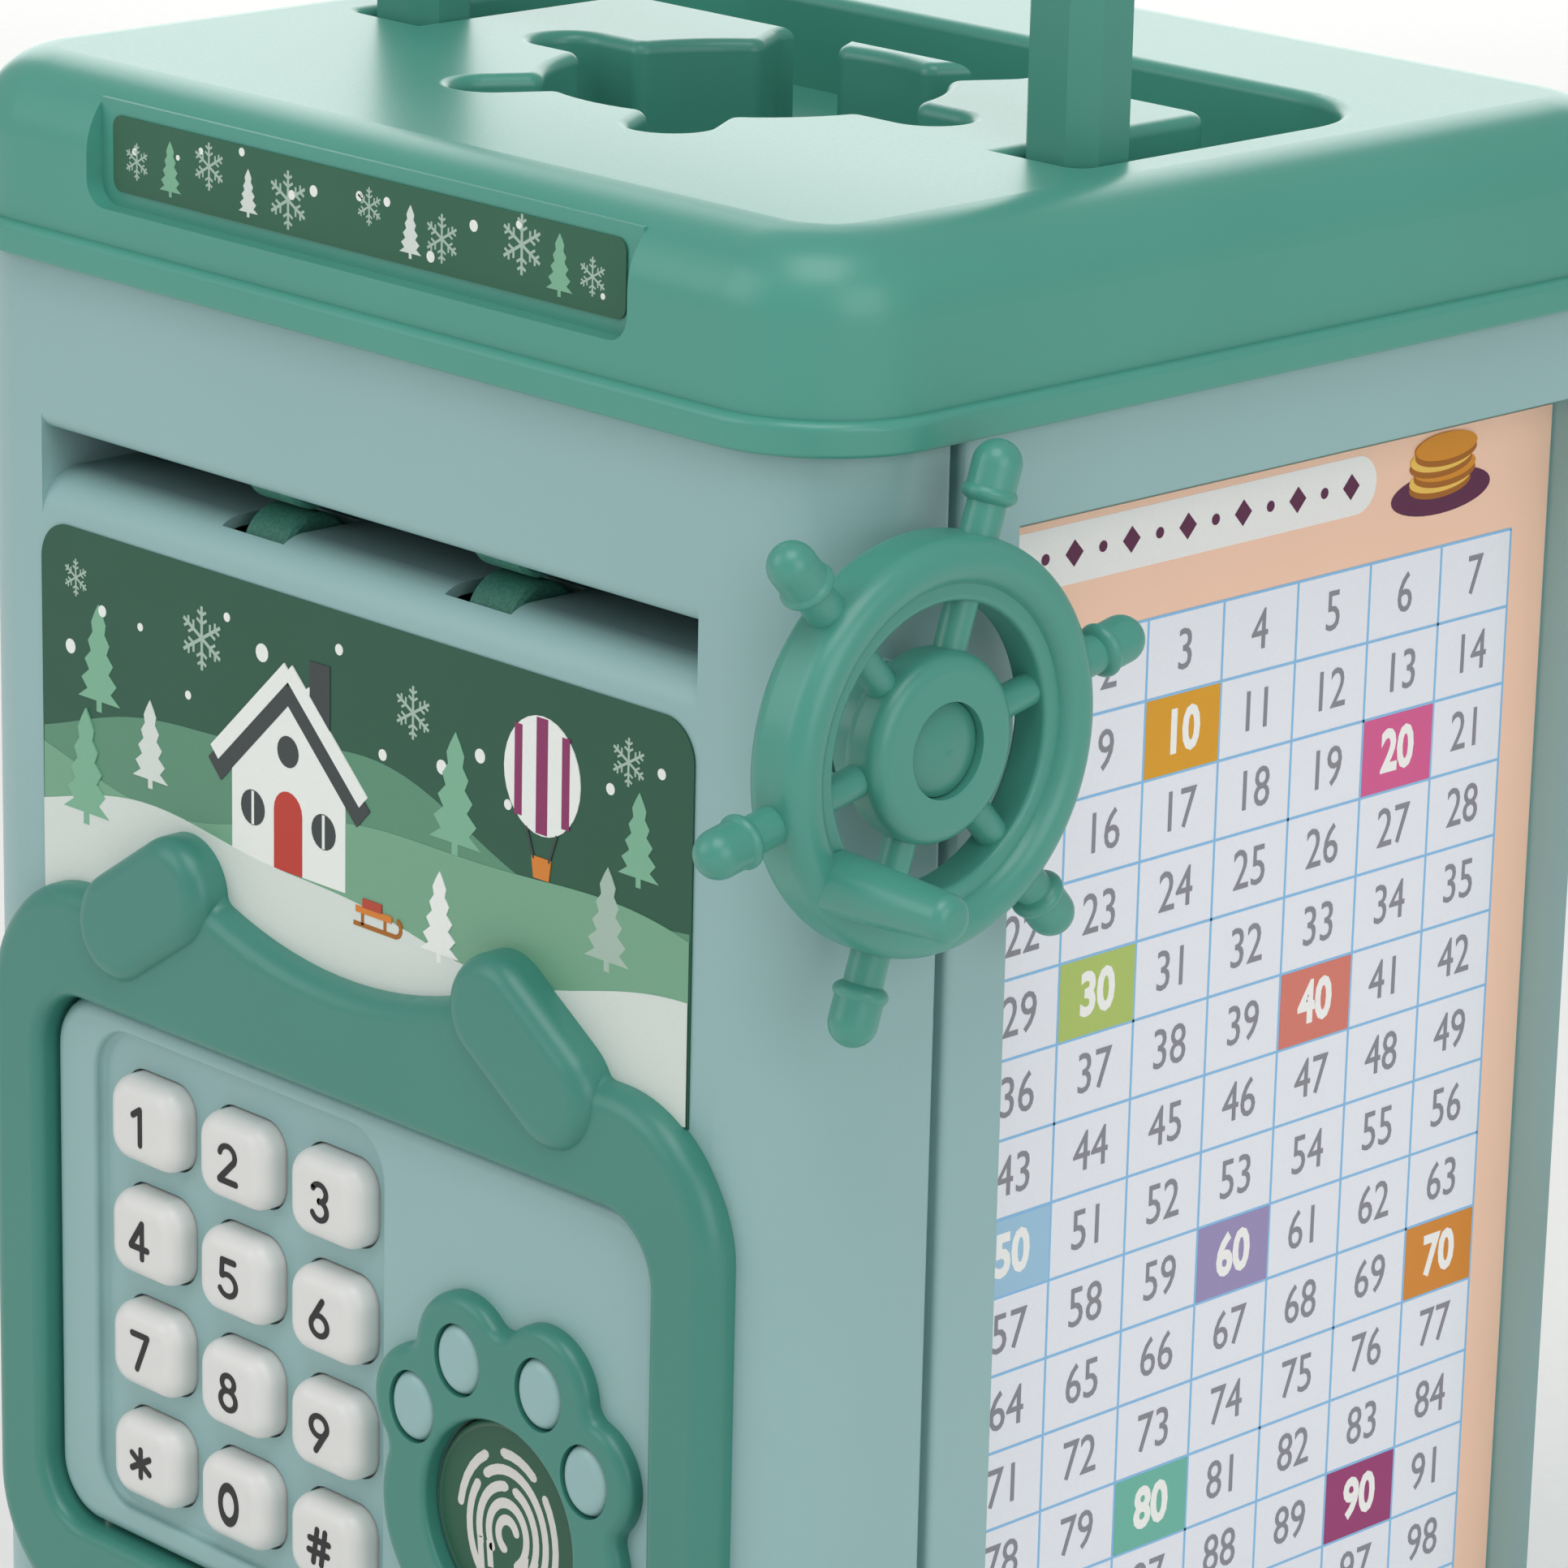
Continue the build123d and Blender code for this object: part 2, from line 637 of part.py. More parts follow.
def lid():
    """The cover with its label pocket, wheel-shaped well and handle channel."""
    lip = casing(-overhang, lid_rim_z, lid_rim_z + lid_lip_height)
    lip = fillet(lip.faces().sort_by(Axis.Z)[-1].edges(), edge_round)
    lip = fillet(lip.faces().sort_by(Axis.Z)[0].edges(), 0.4)
    corner = body_corner + overhang - lid_step
    crown = casing(lid_step - overhang, lid_rim_z + 1, lid_top_z)
    crown = fillet(crown.faces().sort_by(Axis.Z)[-1].edges(), lid_top_round)
    cavity_outline = RectangleRounded(
        2 * (lid_half_width - wall), 2 * (lid_half_depth - wall), corner - wall
    )
    cavity = upright(cavity_outline, body_top, lid_top_z - wall)
    cavity = fillet(cavity.faces().sort_by(Axis.Z)[-1].edges(), lid_top_round - wall)
    shell = lip + crown - cavity - casing(-fit_gap, lid_rim_z - 1, body_top)
    pocket_top = lid_top_z + 3
    pocket_mid = (label_pocket_bottom + pocket_top) / 2
    pocket = Pos(0, pocket_mid) * RectangleRounded(label_pocket_width, pocket_top - label_pocket_bottom, 2.5)
    pocket_back = -lid_half_depth + label_pocket_depth
    backing = facing(pocket, -lid_half_depth + 0.5, pocket_back + wall)
    inside = RectangleRounded(2 * lid_half_width - 1, 2 * lid_half_depth - 1, corner)
    backing &= upright(inside, body_top / 2, lid_top_z - 2)
    shell += backing - facing(pocket, -beyond, -lid_half_depth)
    below_top = box(-beyond, beyond, -beyond, 0, 0, lid_top_z - 0.8)
    shell -= facing(pocket, -beyond, pocket_back) & below_top
    shell += upright(well_outline(pocket_wall), well_floor_z - pocket_wall, lid_top_z - wall)
    shell += upright(channel_outline(pocket_wall), channel_floor_z - pocket_wall, lid_top_z - wall)
    shell -= soft_pocket(well_outline(0), well_floor_z)
    shell -= soft_pocket(channel_outline(0), channel_floor_z)
    for y in (boss_front_y, boss_back_y):
        column = post(boss_x, y, post_radius, lid_rim_z, lid_top_z - wall)
        column -= post(boss_x, y, pilot_radius, lid_rim_z - 1, lid_rim_z + 12)
        shell += both_sides(column)
    outer_reach = channel_half_width + pocket_wall + 0.1
    inner_reach = island_half_width - pocket_wall - 0.1
    shell -= both_sides(cross_rod(pivot_y, pivot_z, stub_radius + running_gap, inner_reach, outer_reach))
    coin = Pos(0, well_y) * SlotOverall(coin_slot_length, coin_slot_width)
    return shell - upright(coin, well_floor_z - 5, well_floor_z + 1)


def lid_label():
    """The printed strip in the lid's front pocket."""
    back = -lid_half_depth + label_pocket_depth
    return facing(Pos(0, label_z) * RectangleRounded(label_width, label_height, 1.2), back - sticker, back)


# ---- handle ----
def handle():
    """Carrying handle, standing up, with moulded stubs at its feet."""
    half = handle_outer / 2
    top = pivot_z + handle_reach
    tall = 2 * handle_reach
    outer = Pos(0, top - handle_reach) * RectangleRounded(2 * half, tall, handle_corner)
    inner_top = top - handle_grip
    inner = RectangleRounded(2 * (half - handle_leg_width), tall, handle_corner - 5)
    inner = Pos(0, inner_top - handle_reach) * inner
    below = Pos(0, pivot_z - beyond / 2) * Rectangle(beyond, beyond)
    y0 = pivot_y - handle_leg / 2
    bail = facing(outer - inner - below, y0, y0 + handle_leg)
    front_and_back = bail.faces().filter_by(Axis.Y).edges()
    long_edges = [edge for edge in front_and_back if edge.center().Z > pivot_z + 0.1]
    bail = chamfer(long_edges, handle_chamfer)
    for side in (-1, 1):
        x0, x1 = sorted((side * half, side * (half - handle_leg_width)))
        bail += cross_rod(pivot_y, pivot_z, handle_leg / 2, x0, x1)
        bail += cross_rod(pivot_y, pivot_z, stub_radius, x0 - stub_length, x1 + stub_length)
    return bail


# ---- printed sheets ----
def chart(side):
    """Savings chart stuck to a side panel."""
    width = recess_back_y - recess_front_y - 2 * chart_margin
    height = recess_top_z - recess_bottom_z - 2 * chart_margin
    mid_y = (recess_back_y + recess_front_y) / 2
    mid_z = (recess_top_z + recess_bottom_z) / 2
    sheet = Pos(mid_y, mid_z) * Rectangle(width, height)
    x0, x1 = sorted((side * panel_x, side * (panel_x + sticker)))
    return sideways(sheet, x0, x1)


def front_picture():
    """Printed sheet below the note slot, cut to the door frame's outline."""
    top = ramp_top_z - lip_radius - 0.2
    bottom = frame_top_z - 18
    sheet = Pos(0, (top + bottom) / 2) * RectangleRounded(slot_width, top - bottom, 4.0)
    sheet -= frame_outline(0.15)
    return facing(sheet, front_y - sticker, front_y)


# ---- door frame ----
def door_outline(half, bottom, top, corner):
    """Rounded rectangle in the front view."""
    return Pos(0, (top + bottom) / 2) * RectangleRounded(2 * half, top - bottom, corner)


def ear_outline(x, grow):
    """One ear of the door frame, enlarged by grow."""
    width = ear_width + 2 * grow
    oval = RectangleRounded(ear_length + 2 * grow, width, width / 2 - 0.01)
    return Pos(x, ear_z) * Rot(0, 0, -math.copysign(ear_tilt, x)) * oval


def frame_screw_places():
    """The four screws that hold the door frame, from inside the front wall."""
    columns = (-frame_screw_x, frame_screw_x)
    return [(x, z) for x in columns for z in (frame_screw_low_z, frame_screw_high_z)]


def frame_outline(grow):
    """Outline of the door frame with its two ears, enlarged by grow."""
    shape = door_outline(
        frame_half_width + grow, frame_bottom_z - grow, frame_top_z + grow, frame_corner + grow
    )
    brow = Pos(0, frame_top_z) * Rectangle(2 * brow_half_width, 8)
    shape += brow - Pos(0, frame_top_z + grow + brow_radius) * Circle(brow_radius)
    for x in (-ear_x, ear_x):
        shape += ear_outline(x, grow)
    return offset(offset(shape, ear_blend), -ear_blend)


def door_frame():
    """The raised surround with two ears and the collar that plugs into the front wall."""
    face = front_y - frame_proud
    plate = facing(frame_outline(0), face, front_y + 2)
    plate = fillet(plate.faces().sort_by(Axis.Y)[0].edges(), frame_edge_round)
    plate -= casing(-0.02, 0, beyond)
    for x in (-ear_x, ear_x):
        ear = facing(ear_outline(x, 0), face - ear_proud, front_y)
        plate += fillet(ear.faces().sort_by(Axis.Y)[0].edges(), ear_edge_round)
    collar = door_outline(collar_half_width, collar_bottom_z, collar_top_z, 9.0)
    plate += facing(collar, front_y - 1, front_y + collar_depth)
    hole = door_outline(opening_half_width, opening_bottom_z, opening_top_z, opening_corner)
    plate -= soft_hole(hole, face, front_y + 2 * collar_depth, frame_rim_round)
    for x, z in frame_screw_places():
        plate -= deep_rod(x, z, pilot_radius, front_y - 1.9, front_y + 1)
    hinge_y = door_plate_back_y
    plate -= post(hinge_x, hinge_y, hinge_pin_radius, collar_bottom_z + 0.6, collar_top_z - 0.6)
    return plate


def door_hinge_pins():
    """Two steel pins, one above and one below the door."""
    high = door_top_z - hinge_boss_inset - hinge_pin_depth
    low = door_bottom_z + hinge_boss_inset + hinge_pin_depth
    upper = post(hinge_x, door_plate_back_y, hinge_pin_radius, high, collar_top_z - 0.6)
    lower = post(hinge_x, door_plate_back_y, hinge_pin_radius, collar_bottom_z + 0.6, low)
    return Compound(children=[upper, lower])


# ---- door ----
def key_places():
    """Centre of every key, row by row from the top left."""
    for row in range(key_rows):
        for column in range(key_columns):
            yield key_first_x + column * key_pitch_x, key_first_z - row * key_pitch_z


def door_room(gap):
    """Room between the door's side walls, seen from the front."""
    width = 2 * (box_half_width - door_wall - gap)
    height = box_height - 2 * (door_wall + gap)
    return Pos(0, door_mid_z) * RectangleRounded(width, height, door_box_corner - door_wall - gap)


def door_panel():
    """The door's front and side walls, with the keypad recess and key holes."""
    panel = facing(
        door_outline(door_half_width, door_bottom_z, door_top_z, opening_corner - door_gap),
        door_face_y,
        door_plate_back_y,
    )
    panel = fillet(panel.faces().sort_by(Axis.Y)[0].edges(), 1.5)
    outer = Pos(0, door_mid_z) * RectangleRounded(2 * box_half_width, box_height, door_box_corner)
    panel += facing(outer - door_room(0), door_plate_back_y, door_back_y)
    low = door_bottom_z + hinge_boss_inset
    high = door_top_z - hinge_boss_inset
    for z0 in (low, high - hinge_boss_height):
        boss = post(hinge_x, door_plate_back_y, door_plate, z0, z0 + hinge_boss_height)
        panel += boss & box(-beyond, beyond, keypad_floor_y, beyond, 0, beyond)
    bore = hinge_pin_radius + running_gap
    panel -= post(hinge_x, door_plate_back_y, bore, door_bottom_z - 1, low + hinge_pin_depth + 0.3)
    panel -= post(hinge_x, door_plate_back_y, bore, high - hinge_pin_depth - 0.3, door_top_z + 1)
    recess_x = (keypad_left_x + keypad_right_x) / 2
    recess_z = (keypad_top_z + keypad_bottom_z) / 2
    recess = Pos(recess_x, recess_z) * RectangleRounded(
        keypad_right_x - keypad_left_x, keypad_top_z - keypad_bottom_z, keypad_corner
    )
    hollow = facing(recess, door_face_y - 1, keypad_floor_y)
    panel -= fillet(hollow.faces().sort_by(Axis.Y)[-1].edges(), keypad_floor_round)
    rim = [
        edge
        for edge in panel.edges()
        if abs(edge.center().Y - door_face_y) < 0.01
        and keypad_left_x - 0.1 < edge.center().X < keypad_right_x + 0.1
        and keypad_bottom_z - 0.1 < edge.center().Z < keypad_top_z + 0.1
    ]
    panel = fillet(rim, keypad_rim_round)
    hole = RectangleRounded(key_width + 2 * key_gap, key_height + 2 * key_gap, key_corner + key_gap)
    for x, z in key_places():
        panel -= facing(Pos(x, z) * hole, -beyond, door_plate_back_y + 0.1)
    panel -= deep_rod(paw_x, scanner_z, scanner_radius + scanner_gap, -beyond, door_plate_back_y + 0.1)
    for x, z in board_screw_places():
        panel += deep_rod(x, z, board_post_radius, door_plate_back_y, board_y)
        panel -= deep_rod(x, z, small_pilot_radius, board_y - 2.8, board_y + 1)
    window_y = bolt_thickness / 2 + 0.2
    window_z = bolt_height / 2 + 0.2
    window = Pos(bolt_y, bolt_z) * Rectangle(2 * window_y, 2 * window_z)
    panel -= sideways(window, box_half_width - 3, box_half_width + 1)
    return panel


def key():
    """One key cap centred on X and Z, with its retaining flange behind the panel."""
    cap = facing(RectangleRounded(key_width, key_height, key_corner), key_front_y, key_flange_y)
    cap = fillet(cap.faces().sort_by(Axis.Y)[0].edges(), key_edge_round)
    flange = Rectangle(key_width + 2 * key_flange, key_height + 1.0)
    return cap + facing(flange, key_flange_y, key_flange_y + key_flange_thickness)


def keypad_mat():
    """Rubber sheet under the keys, lying on the circuit board."""
    width = 2 * key_pitch_x + key_width + 2 * mat_margin
    height = (key_rows - 1) * key_pitch_z + key_height + 2 * mat_margin
    middle_z = key_first_z - (key_rows - 1) / 2 * key_pitch_z
    sheet = Pos(key_first_x + key_pitch_x, middle_z) * RectangleRounded(width, height, 2.0)
    mat = facing(sheet, board_y - mat_thickness, board_y)
    for x, z in key_places():
        mat -= deep_rod(x, z, 2.0, board_y - mat_thickness - 1, board_y - mat_thickness + 0.4)
    return mat


def board_screw_places():
    """The four board screws, right of the keypad."""
    columns = (board_screw_left_x, board_screw_right_x)
    rows = (board_screw_low_z, board_screw_high_z)
    return [(x, z) for x in columns for z in rows]


def circuit_board():
    """Printed circuit board on posts behind the front panel."""
    half = box_half_width - door_wall - fit_gap
    height = box_height - 2 * door_wall - 2 * fit_gap
    outline = Pos(0, door_mid_z) * RectangleRounded(2 * half, height, door_box_corner - door_wall)
    for x, z in board_screw_places():
        outline -= Pos(x, z) * Circle(screw_radius + 0.2)
    return facing(outline, board_y, board_y + board_thickness)


def door_back_cover():
    """Rear cover of the door, with the battery hatch and speaker grille."""
    outline = Pos(0, door_mid_z) * RectangleRounded(2 * box_half_width, box_height, door_box_corner)
    cover = facing(outline, door_back_y, door_back_y + door_cover)
    inner_half = box_half_width - door_wall - fit_gap
    inner_height = box_height - 2 * door_wall - 2 * fit_gap
    rim = RectangleRounded(2 * inner_half, inner_height, door_box_corner - door_wall)
    rim -= Rectangle(2 * inner_half - 2, inner_height - 2)
    rim = facing(Pos(0, door_mid_z) * rim, door_back_y - 1.5, door_back_y)
    rim -= box(tray_left_x - 1, tray_right_x + 0.3, -beyond, door_back_y, 0, beyond)
    rim -= box(bolt_tip_x - 12, beyond, -beyond, door_back_y, bolt_z - 6, bolt_z + 6)
    cover += rim
    hatch_width = tray_right_x - tray_left_x - 2 * tray_wall
    hatch_mid_x = (tray_left_x + tray_right_x) / 2
    hatch = Rectangle(hatch_width, tray_height - 2 * tray_wall)
    hatch = Pos(hatch_mid_x, tray_bottom_z + tray_height / 2) * hatch
    cover -= facing(hatch, door_back_y - 1, door_back_y + 3)
    cover += deep_rod(battery_screw_x, door_mid_z, 1.9, door_back_y - 5, door_back_y)
    cover -= deep_rod(battery_screw_x, door_mid_z, small_pilot_radius, door_back_y - 4, door_back_y + 3)
    for ring, count in ((0, 1), (3.2, 6)):
        for index in range(count):
            angle = math.radians(index * 360 / count)
            x = speaker_x + ring * math.cos(angle)
            z = speaker_z + ring * math.sin(angle)
            cover -= deep_rod(x, z, 0.9, door_back_y - 1, door_back_y + 3)
    return cover


def battery_cover():
    """Hatch over the cells, held by one screw."""
    left = tray_left_x - 0.8
    right = battery_screw_x + 2.8
    bottom = tray_bottom_z - 0.6
    top = tray_bottom_z + tray_height + 0.6
    plate = Pos((left + right) / 2, (bottom + top) / 2) * RectangleRounded(right - left, top - bottom, 2.0)
    back = door_back_y + door_cover
    hatch = facing(plate, back, back + 1.2)
    for index in range(5):
        z = door_mid_z + (index - 2) * 4
        hatch -= box(left + 4, left + 14, back + 0.8, back + 2, z - 0.6, z + 0.6)
    return hatch - deep_rod(battery_screw_x, door_mid_z, screw_radius + 0.2, back - 1, back + 3)


def battery_tray():
    """Open box that holds the three cells, fixed behind the circuit board."""
    top = tray_bottom_z + tray_height
    tray = box(tray_left_x, tray_right_x, tray_floor_y, door_back_y, tray_bottom_z, top)
    tray -= box(
        tray_left_x + tray_wall,
        tray_right_x - tray_wall,
        tray_floor_y + 0.8,
        door_back_y + 1,
        tray_bottom_z + tray_wall,
        top - tray_wall,
    )
    for index in (1, 2):
        z = cell_first_z - cell_pitch / 2 + index * cell_pitch
        rib_end = cell_left_x + cell_length - 5
        tray += box(cell_left_x + 5, rib_end, tray_floor_y, tray_floor_y + 3.2, z - 0.3, z + 0.3)
    return tray & facing(door_room(fit_gap), tray_floor_y, door_back_y)


def cell_places():
    """Axis height of each cell."""
    return [cell_first_z + index * cell_pitch for index in range(3)]


def battery_cells():
    """Three cylindrical cells, side by side, the middle one turned round."""
    cells = []
    for index, z in enumerate(cell_places()):
        start = cell_left_x
        end = cell_left_x + cell_length
        if index == 1:
            barrel = cross_rod(cell_y, z, cell_radius, start + cell_nub, end)
            nub = cross_rod(cell_y, z, 2.75, start, start + cell_nub)
        else:
            barrel = cross_rod(cell_y, z, cell_radius, start, end - cell_nub)
            nub = cross_rod(cell_y, z, 2.75, end - cell_nub, end)
        ends = barrel.edges().filter_by(GeomType.CIRCLE)
        cells.append(fillet(ends, 0.6) + nub)
    return Compound(children=cells)


def battery_contacts():
    """Leaf contacts at both ends of every cell."""
    plates = []
    left = tray_left_x + tray_wall
    right = tray_right_x - tray_wall
    for z in cell_places():
        leaf = box(left, left + 0.4, cell_y - 5, cell_y + 5, z - 5, z + 5)
        plates.append(leaf + cross_rod(cell_y, z, 3.0, left + 0.4, cell_left_x - 0.2))
        leaf = box(right - 0.4, right, cell_y - 5, cell_y + 5, z - 5, z + 5)
        plates.append(leaf + cross_rod(cell_y, z, 3.0, cell_left_x + cell_length + 0.2, right - 0.4))
    return Compound(children=plates)


def lock_solenoid():
    """Electromagnet that draws the bolt back."""
    half = solenoid_size / 2
    front = board_y + board_thickness + 0.3
    coil = box(solenoid_left_x, solenoid_right_x, front, bolt_y + half, bolt_z - half, bolt_z + half)
    coil -= box(
        solenoid_left_x + 1.5,
        solenoid_right_x - 1.5,
        front - 1,
        bolt_y + half - 1.2,
        bolt_z + half - 1.4,
        bolt_z + half + 1,
    )
    bore = bolt_rod_radius + running_gap
    return coil - cross_rod(bolt_y, bolt_z, bore, solenoid_left_x - 1, solenoid_right_x + 1)


def lock_bolt():
    """Sliding bolt with its round plunger, drawn back into the door."""
    head = box(
        solenoid_right_x + 0.8,
        bolt_tip_x,
        bolt_y - bolt_thickness / 2,
        bolt_y + bolt_thickness / 2,
        bolt_z - bolt_height / 2,
        bolt_z + bolt_height / 2,
    )
    head = chamfer(head.faces().sort_by(Axis.X)[-1].edges(), 0.6)
    return head + cross_rod(bolt_y, bolt_z, bolt_rod_radius, solenoid_left_x + 0.7, solenoid_right_x + 0.9)


def lock_keeper():
    """Strike plate behind the door frame that the bolt slides behind."""
    back = bolt_y - bolt_thickness / 2 - keeper_gap
    left = opening_half_width + keeper_edge_gap
    plate = box(left, left + keeper_width, back - keeper_thickness, back, bolt_z - 9, bolt_z + 9)
    for z in (bolt_z - keeper_screw_reach, bolt_z + keeper_screw_reach):
        plate -= deep_rod(keeper_screw_x, z, screw_radius + 0.2, back - 5, back + 5)
    return plate


def speaker():
    """Small round loudspeaker behind the grille."""
    back = door_back_y - 0.1
    can = deep_rod(speaker_x, speaker_z, speaker_radius, back - speaker_thickness, back)
    can_front = back - speaker_thickness
    magnet = deep_rod(speaker_x, speaker_z, 5.0, can_front - 2.5, can_front + 0.1)
    return can + magnet


# ---- paw scanner ----
def toe_places():
    """Toe pads from left to right: x, z and the radius of the bezel's lobe."""
    return [
        (paw_x - outer_toe_x, outer_toe_z, outer_toe_lobe),
        (paw_x - inner_toe_x, inner_toe_z, inner_toe_lobe),
        (paw_x + inner_toe_x, inner_toe_z, inner_toe_lobe),
        (paw_x + outer_toe_x, outer_toe_z, outer_toe_lobe),
    ]


def paw_bezel():
    """Paw-shaped surround of the scanner button, stuck to the door."""
    shape = Pos(paw_x, paw_heel_z) * Ellipse(paw_heel_width / 2, paw_heel_height / 2)
    for x, z, lobe in toe_places():
        shape += Pos(x, z) * Circle(lobe)
    middle = (paw_x, scanner_z + 5)
    hollows = [corner for corner in shape.vertices() if math.dist(middle, (corner.X, corner.Y)) > 8]
    bezel = facing(fillet(hollows, paw_lobe_blend), bezel_face_y, door_face_y)
    bezel = fillet(bezel.faces().sort_by(Axis.Y)[0].edges(), paw_edge_round)
    bezel -= deep_rod(paw_x, scanner_z, scanner_radius + scanner_gap, -beyond, 0)
    rim = [
        edge
        for edge in bezel.edges().filter_by(GeomType.CIRCLE)
        if abs(edge.radius - scanner_radius - scanner_gap) < 0.01
        and abs(edge.center().Y - bezel_face_y) < 0.01
    ]
    bezel = fillet(rim, scanner_rim_round)
    for x, z, lobe in toe_places():
        bezel -= facing(Pos(x, z) * Ellipse(toe_width / 2, toe_height / 2), -beyond, 0)
    return bezel


def toe_pads():
    """Four domed pads set into the bezel."""
    pads = []
    for x, z, lobe in toe_places():
        outline = Pos(x, z) * Ellipse(toe_width / 2 - 0.05, toe_height / 2 - 0.05)
        pad = facing(outline, bezel_face_y - toe_proud, door_face_y)
        pads.append(fillet(pad.faces().sort_by(Axis.Y)[0].edges(), toe_edge_round))
    return Compound(children=pads)


def scanner_button():
    """Round push button in the paw, with a retaining flange behind the panel."""
    face = bezel_face_y + scanner_recess
    button = deep_rod(paw_x, scanner_z, scanner_radius, face, key_flange_y)
    button = fillet(button.faces().sort_by(Axis.Y)[0].edges(), 0.5)
    flange = scanner_radius + scanner_flange
    return button + deep_rod(paw_x, scanner_z, flange, key_flange_y, key_flange_y + key_flange_thickness)


# ---- note feed ----
def roller_shaft():
    """Steel shaft from the left cheek to the crank wheel, with a screw hole in its end."""
    start = -cheek_x - cheek_wall - 0.5
    end = wheel_mid_x - 2.2
    rod = cross_rod(shaft_y, shaft_z, shaft_radius, start, end)
    return rod - cross_rod(shaft_y, shaft_z, 0.7, end - 8, end)


def idler_shaft():
    """Free shaft above the drive shaft."""
    reach = cheek_x + cheek_wall + 0.5
    return cross_rod(shaft_y, idler_z, shaft_radius, -reach, reach)


def roller(z, radius, x):
    """Rubber roller on a shaft."""
    tyre = cross_rod(shaft_y, z, radius, x - roller_width / 2, x + roller_width / 2)
    tyre = chamfer(tyre.edges().filter_by(GeomType.CIRCLE), 0.4)
    return tyre - cross_rod(shaft_y, z, shaft_radius, x - roller_width, x + roller_width)


def roller_bracket():
    """Two cheeks that carry both shafts, joined by a bridge over the note path."""
    back = split_y - bridge_gap
    top = bracket_screw_z + 3
    cheek = box(cheek_x, cheek_x + cheek_wall, shaft_y - 4, back, shaft_z - 4, top)
    bracket = both_sides(cheek)
    outer = cheek_x + cheek_wall
    bracket += box(-outer, outer, back - bridge_thickness, back, idler_z + 4.8, top)
    bore = shaft_radius + running_gap
    bracket -= cross_rod(shaft_y, idler_z, bore, -outer - 1, outer + 1)
    bracket -= cross_rod(shaft_y, shaft_z, bore, 0, outer + 1)
    bracket -= cross_rod(shaft_y, shaft_z, bush_radius, -outer - 1, 0)
    for x in (-bracket_screw_x, bracket_screw_x):
        bracket -= deep_rod(x, bracket_screw_z, screw_radius + 0.2, back - 5, back + 5)
    return bracket


def shaft_bushes():
    """Plain bearings of the drive shaft: one in the left cheek, one in the right wall."""
    outer = cheek_x + cheek_wall
    left = cross_rod(shaft_y, shaft_z, bush_radius, -outer, -cheek_x)
    right = cross_rod(shaft_y, shaft_z, wall_bush_radius, half_width - 4.5, half_width + 1.6)
    bore = cross_rod(shaft_y, shaft_z, shaft_radius + running_gap, -beyond, beyond)
    return Compound(children=[left - bore, right - bore])


def crank_wheel():
    """Ship's-wheel crank with six grips, a hub and a winding peg."""
    rim_mid = rim_outer - rim_tube / 2
    tube = Pos(rim_mid, 0) * RectangleRounded(rim_tube, rim_thickness, rim_tube / 2 - 0.05)
    step_width = rim_outer - rim_tube / 2 - rim_inner
    step = Pos(rim_inner + step_width / 2, 0) * RectangleRounded(step_width, rim_step_thickness, 0.6)
    rim = revolve(Plane.XZ * (tube + step), Axis.Z)
    rear = half_width + 2.0 - wheel_mid_x
    front = hub_front_x - wheel_mid_x
    hub = upright(Circle(hub_radius), hub_neck_x - wheel_mid_x, front)
    hub = fillet(hub.edges().filter_by(GeomType.CIRCLE), hub_round)
    hub += upright(Circle(hub_neck_radius), rear, hub_neck_x - wheel_mid_x + 0.5)
    wheel = rim + hub
    for index in range(grip_count):
        wheel += Rot(0, 0, 360 / grip_count * index) * (spoke() + grip())
    peg_base = rim_thickness / 2 - 1.2
    peg = Pos(0, 0, peg_base + peg_length / 2) * Cone(peg_root_radius, peg_tip_radius, peg_length)
    peg = fillet(peg.edges().filter_by(GeomType.CIRCLE).sort_by(Axis.Z)[-1], 1.4)
    wheel += Rot(0, 0, peg_turn) * Pos(peg_reach, 0, 0) * peg
    wheel -= upright(Circle(cap_radius + 0.1), front - cap_pocket, front + 1)
    wheel -= upright(Circle(screw_head_radius + 0.2), -1.0, front)
    wheel -= upright(Circle(screw_radius), -3, front)
    wheel -= upright(Circle(shaft_radius + press_gap), rear - 1, -2.2)
    return wheel_place() * wheel


def wheel_place():
    """Turns a wheel drawn flat in X and Y onto the crank shaft, first grip at grip_angle."""
    plane = Plane(origin=(wheel_mid_x, shaft_y, shaft_z), x_dir=(0, 1, 0), z_dir=(1, 0, 0))
    return plane.location * Rot(0, 0, grip_angle)


def spoke():
    """One spoke from hub to rim, along X."""
    return Plane.YZ.offset(hub_radius - 1).location * Pos(0, 0, (rim_inner - hub_radius + 2) / 2) * Cylinder(
        spoke_radius, rim_inner - hub_radius + 2
    )


def grip():
    """One turned grip outside the rim, along X: stem, bead and round end."""
    stem_end = grip_tip - grip_ball_radius
    root = rim_outer - 1.5
    stem = Rectangle(stem_end - root, grip_shaft_radius)
    profile = Pos((root + stem_end) / 2, grip_shaft_radius / 2) * stem
    barrel_start = grip_bead_at + 0.5
    barrel = Pos((barrel_start + stem_end) / 2, grip_ball_radius / 2)
    profile += barrel * Rectangle(stem_end - barrel_start, grip_ball_radius)
    profile += Pos(stem_end, 0) * Circle(grip_ball_radius)
    profile += Pos(grip_bead_at, 0) * Ellipse(1.2, grip_bead_radius)
    profile &= Pos(20, 10) * Rectangle(40, 20)
    return revolve(profile, Axis.X)


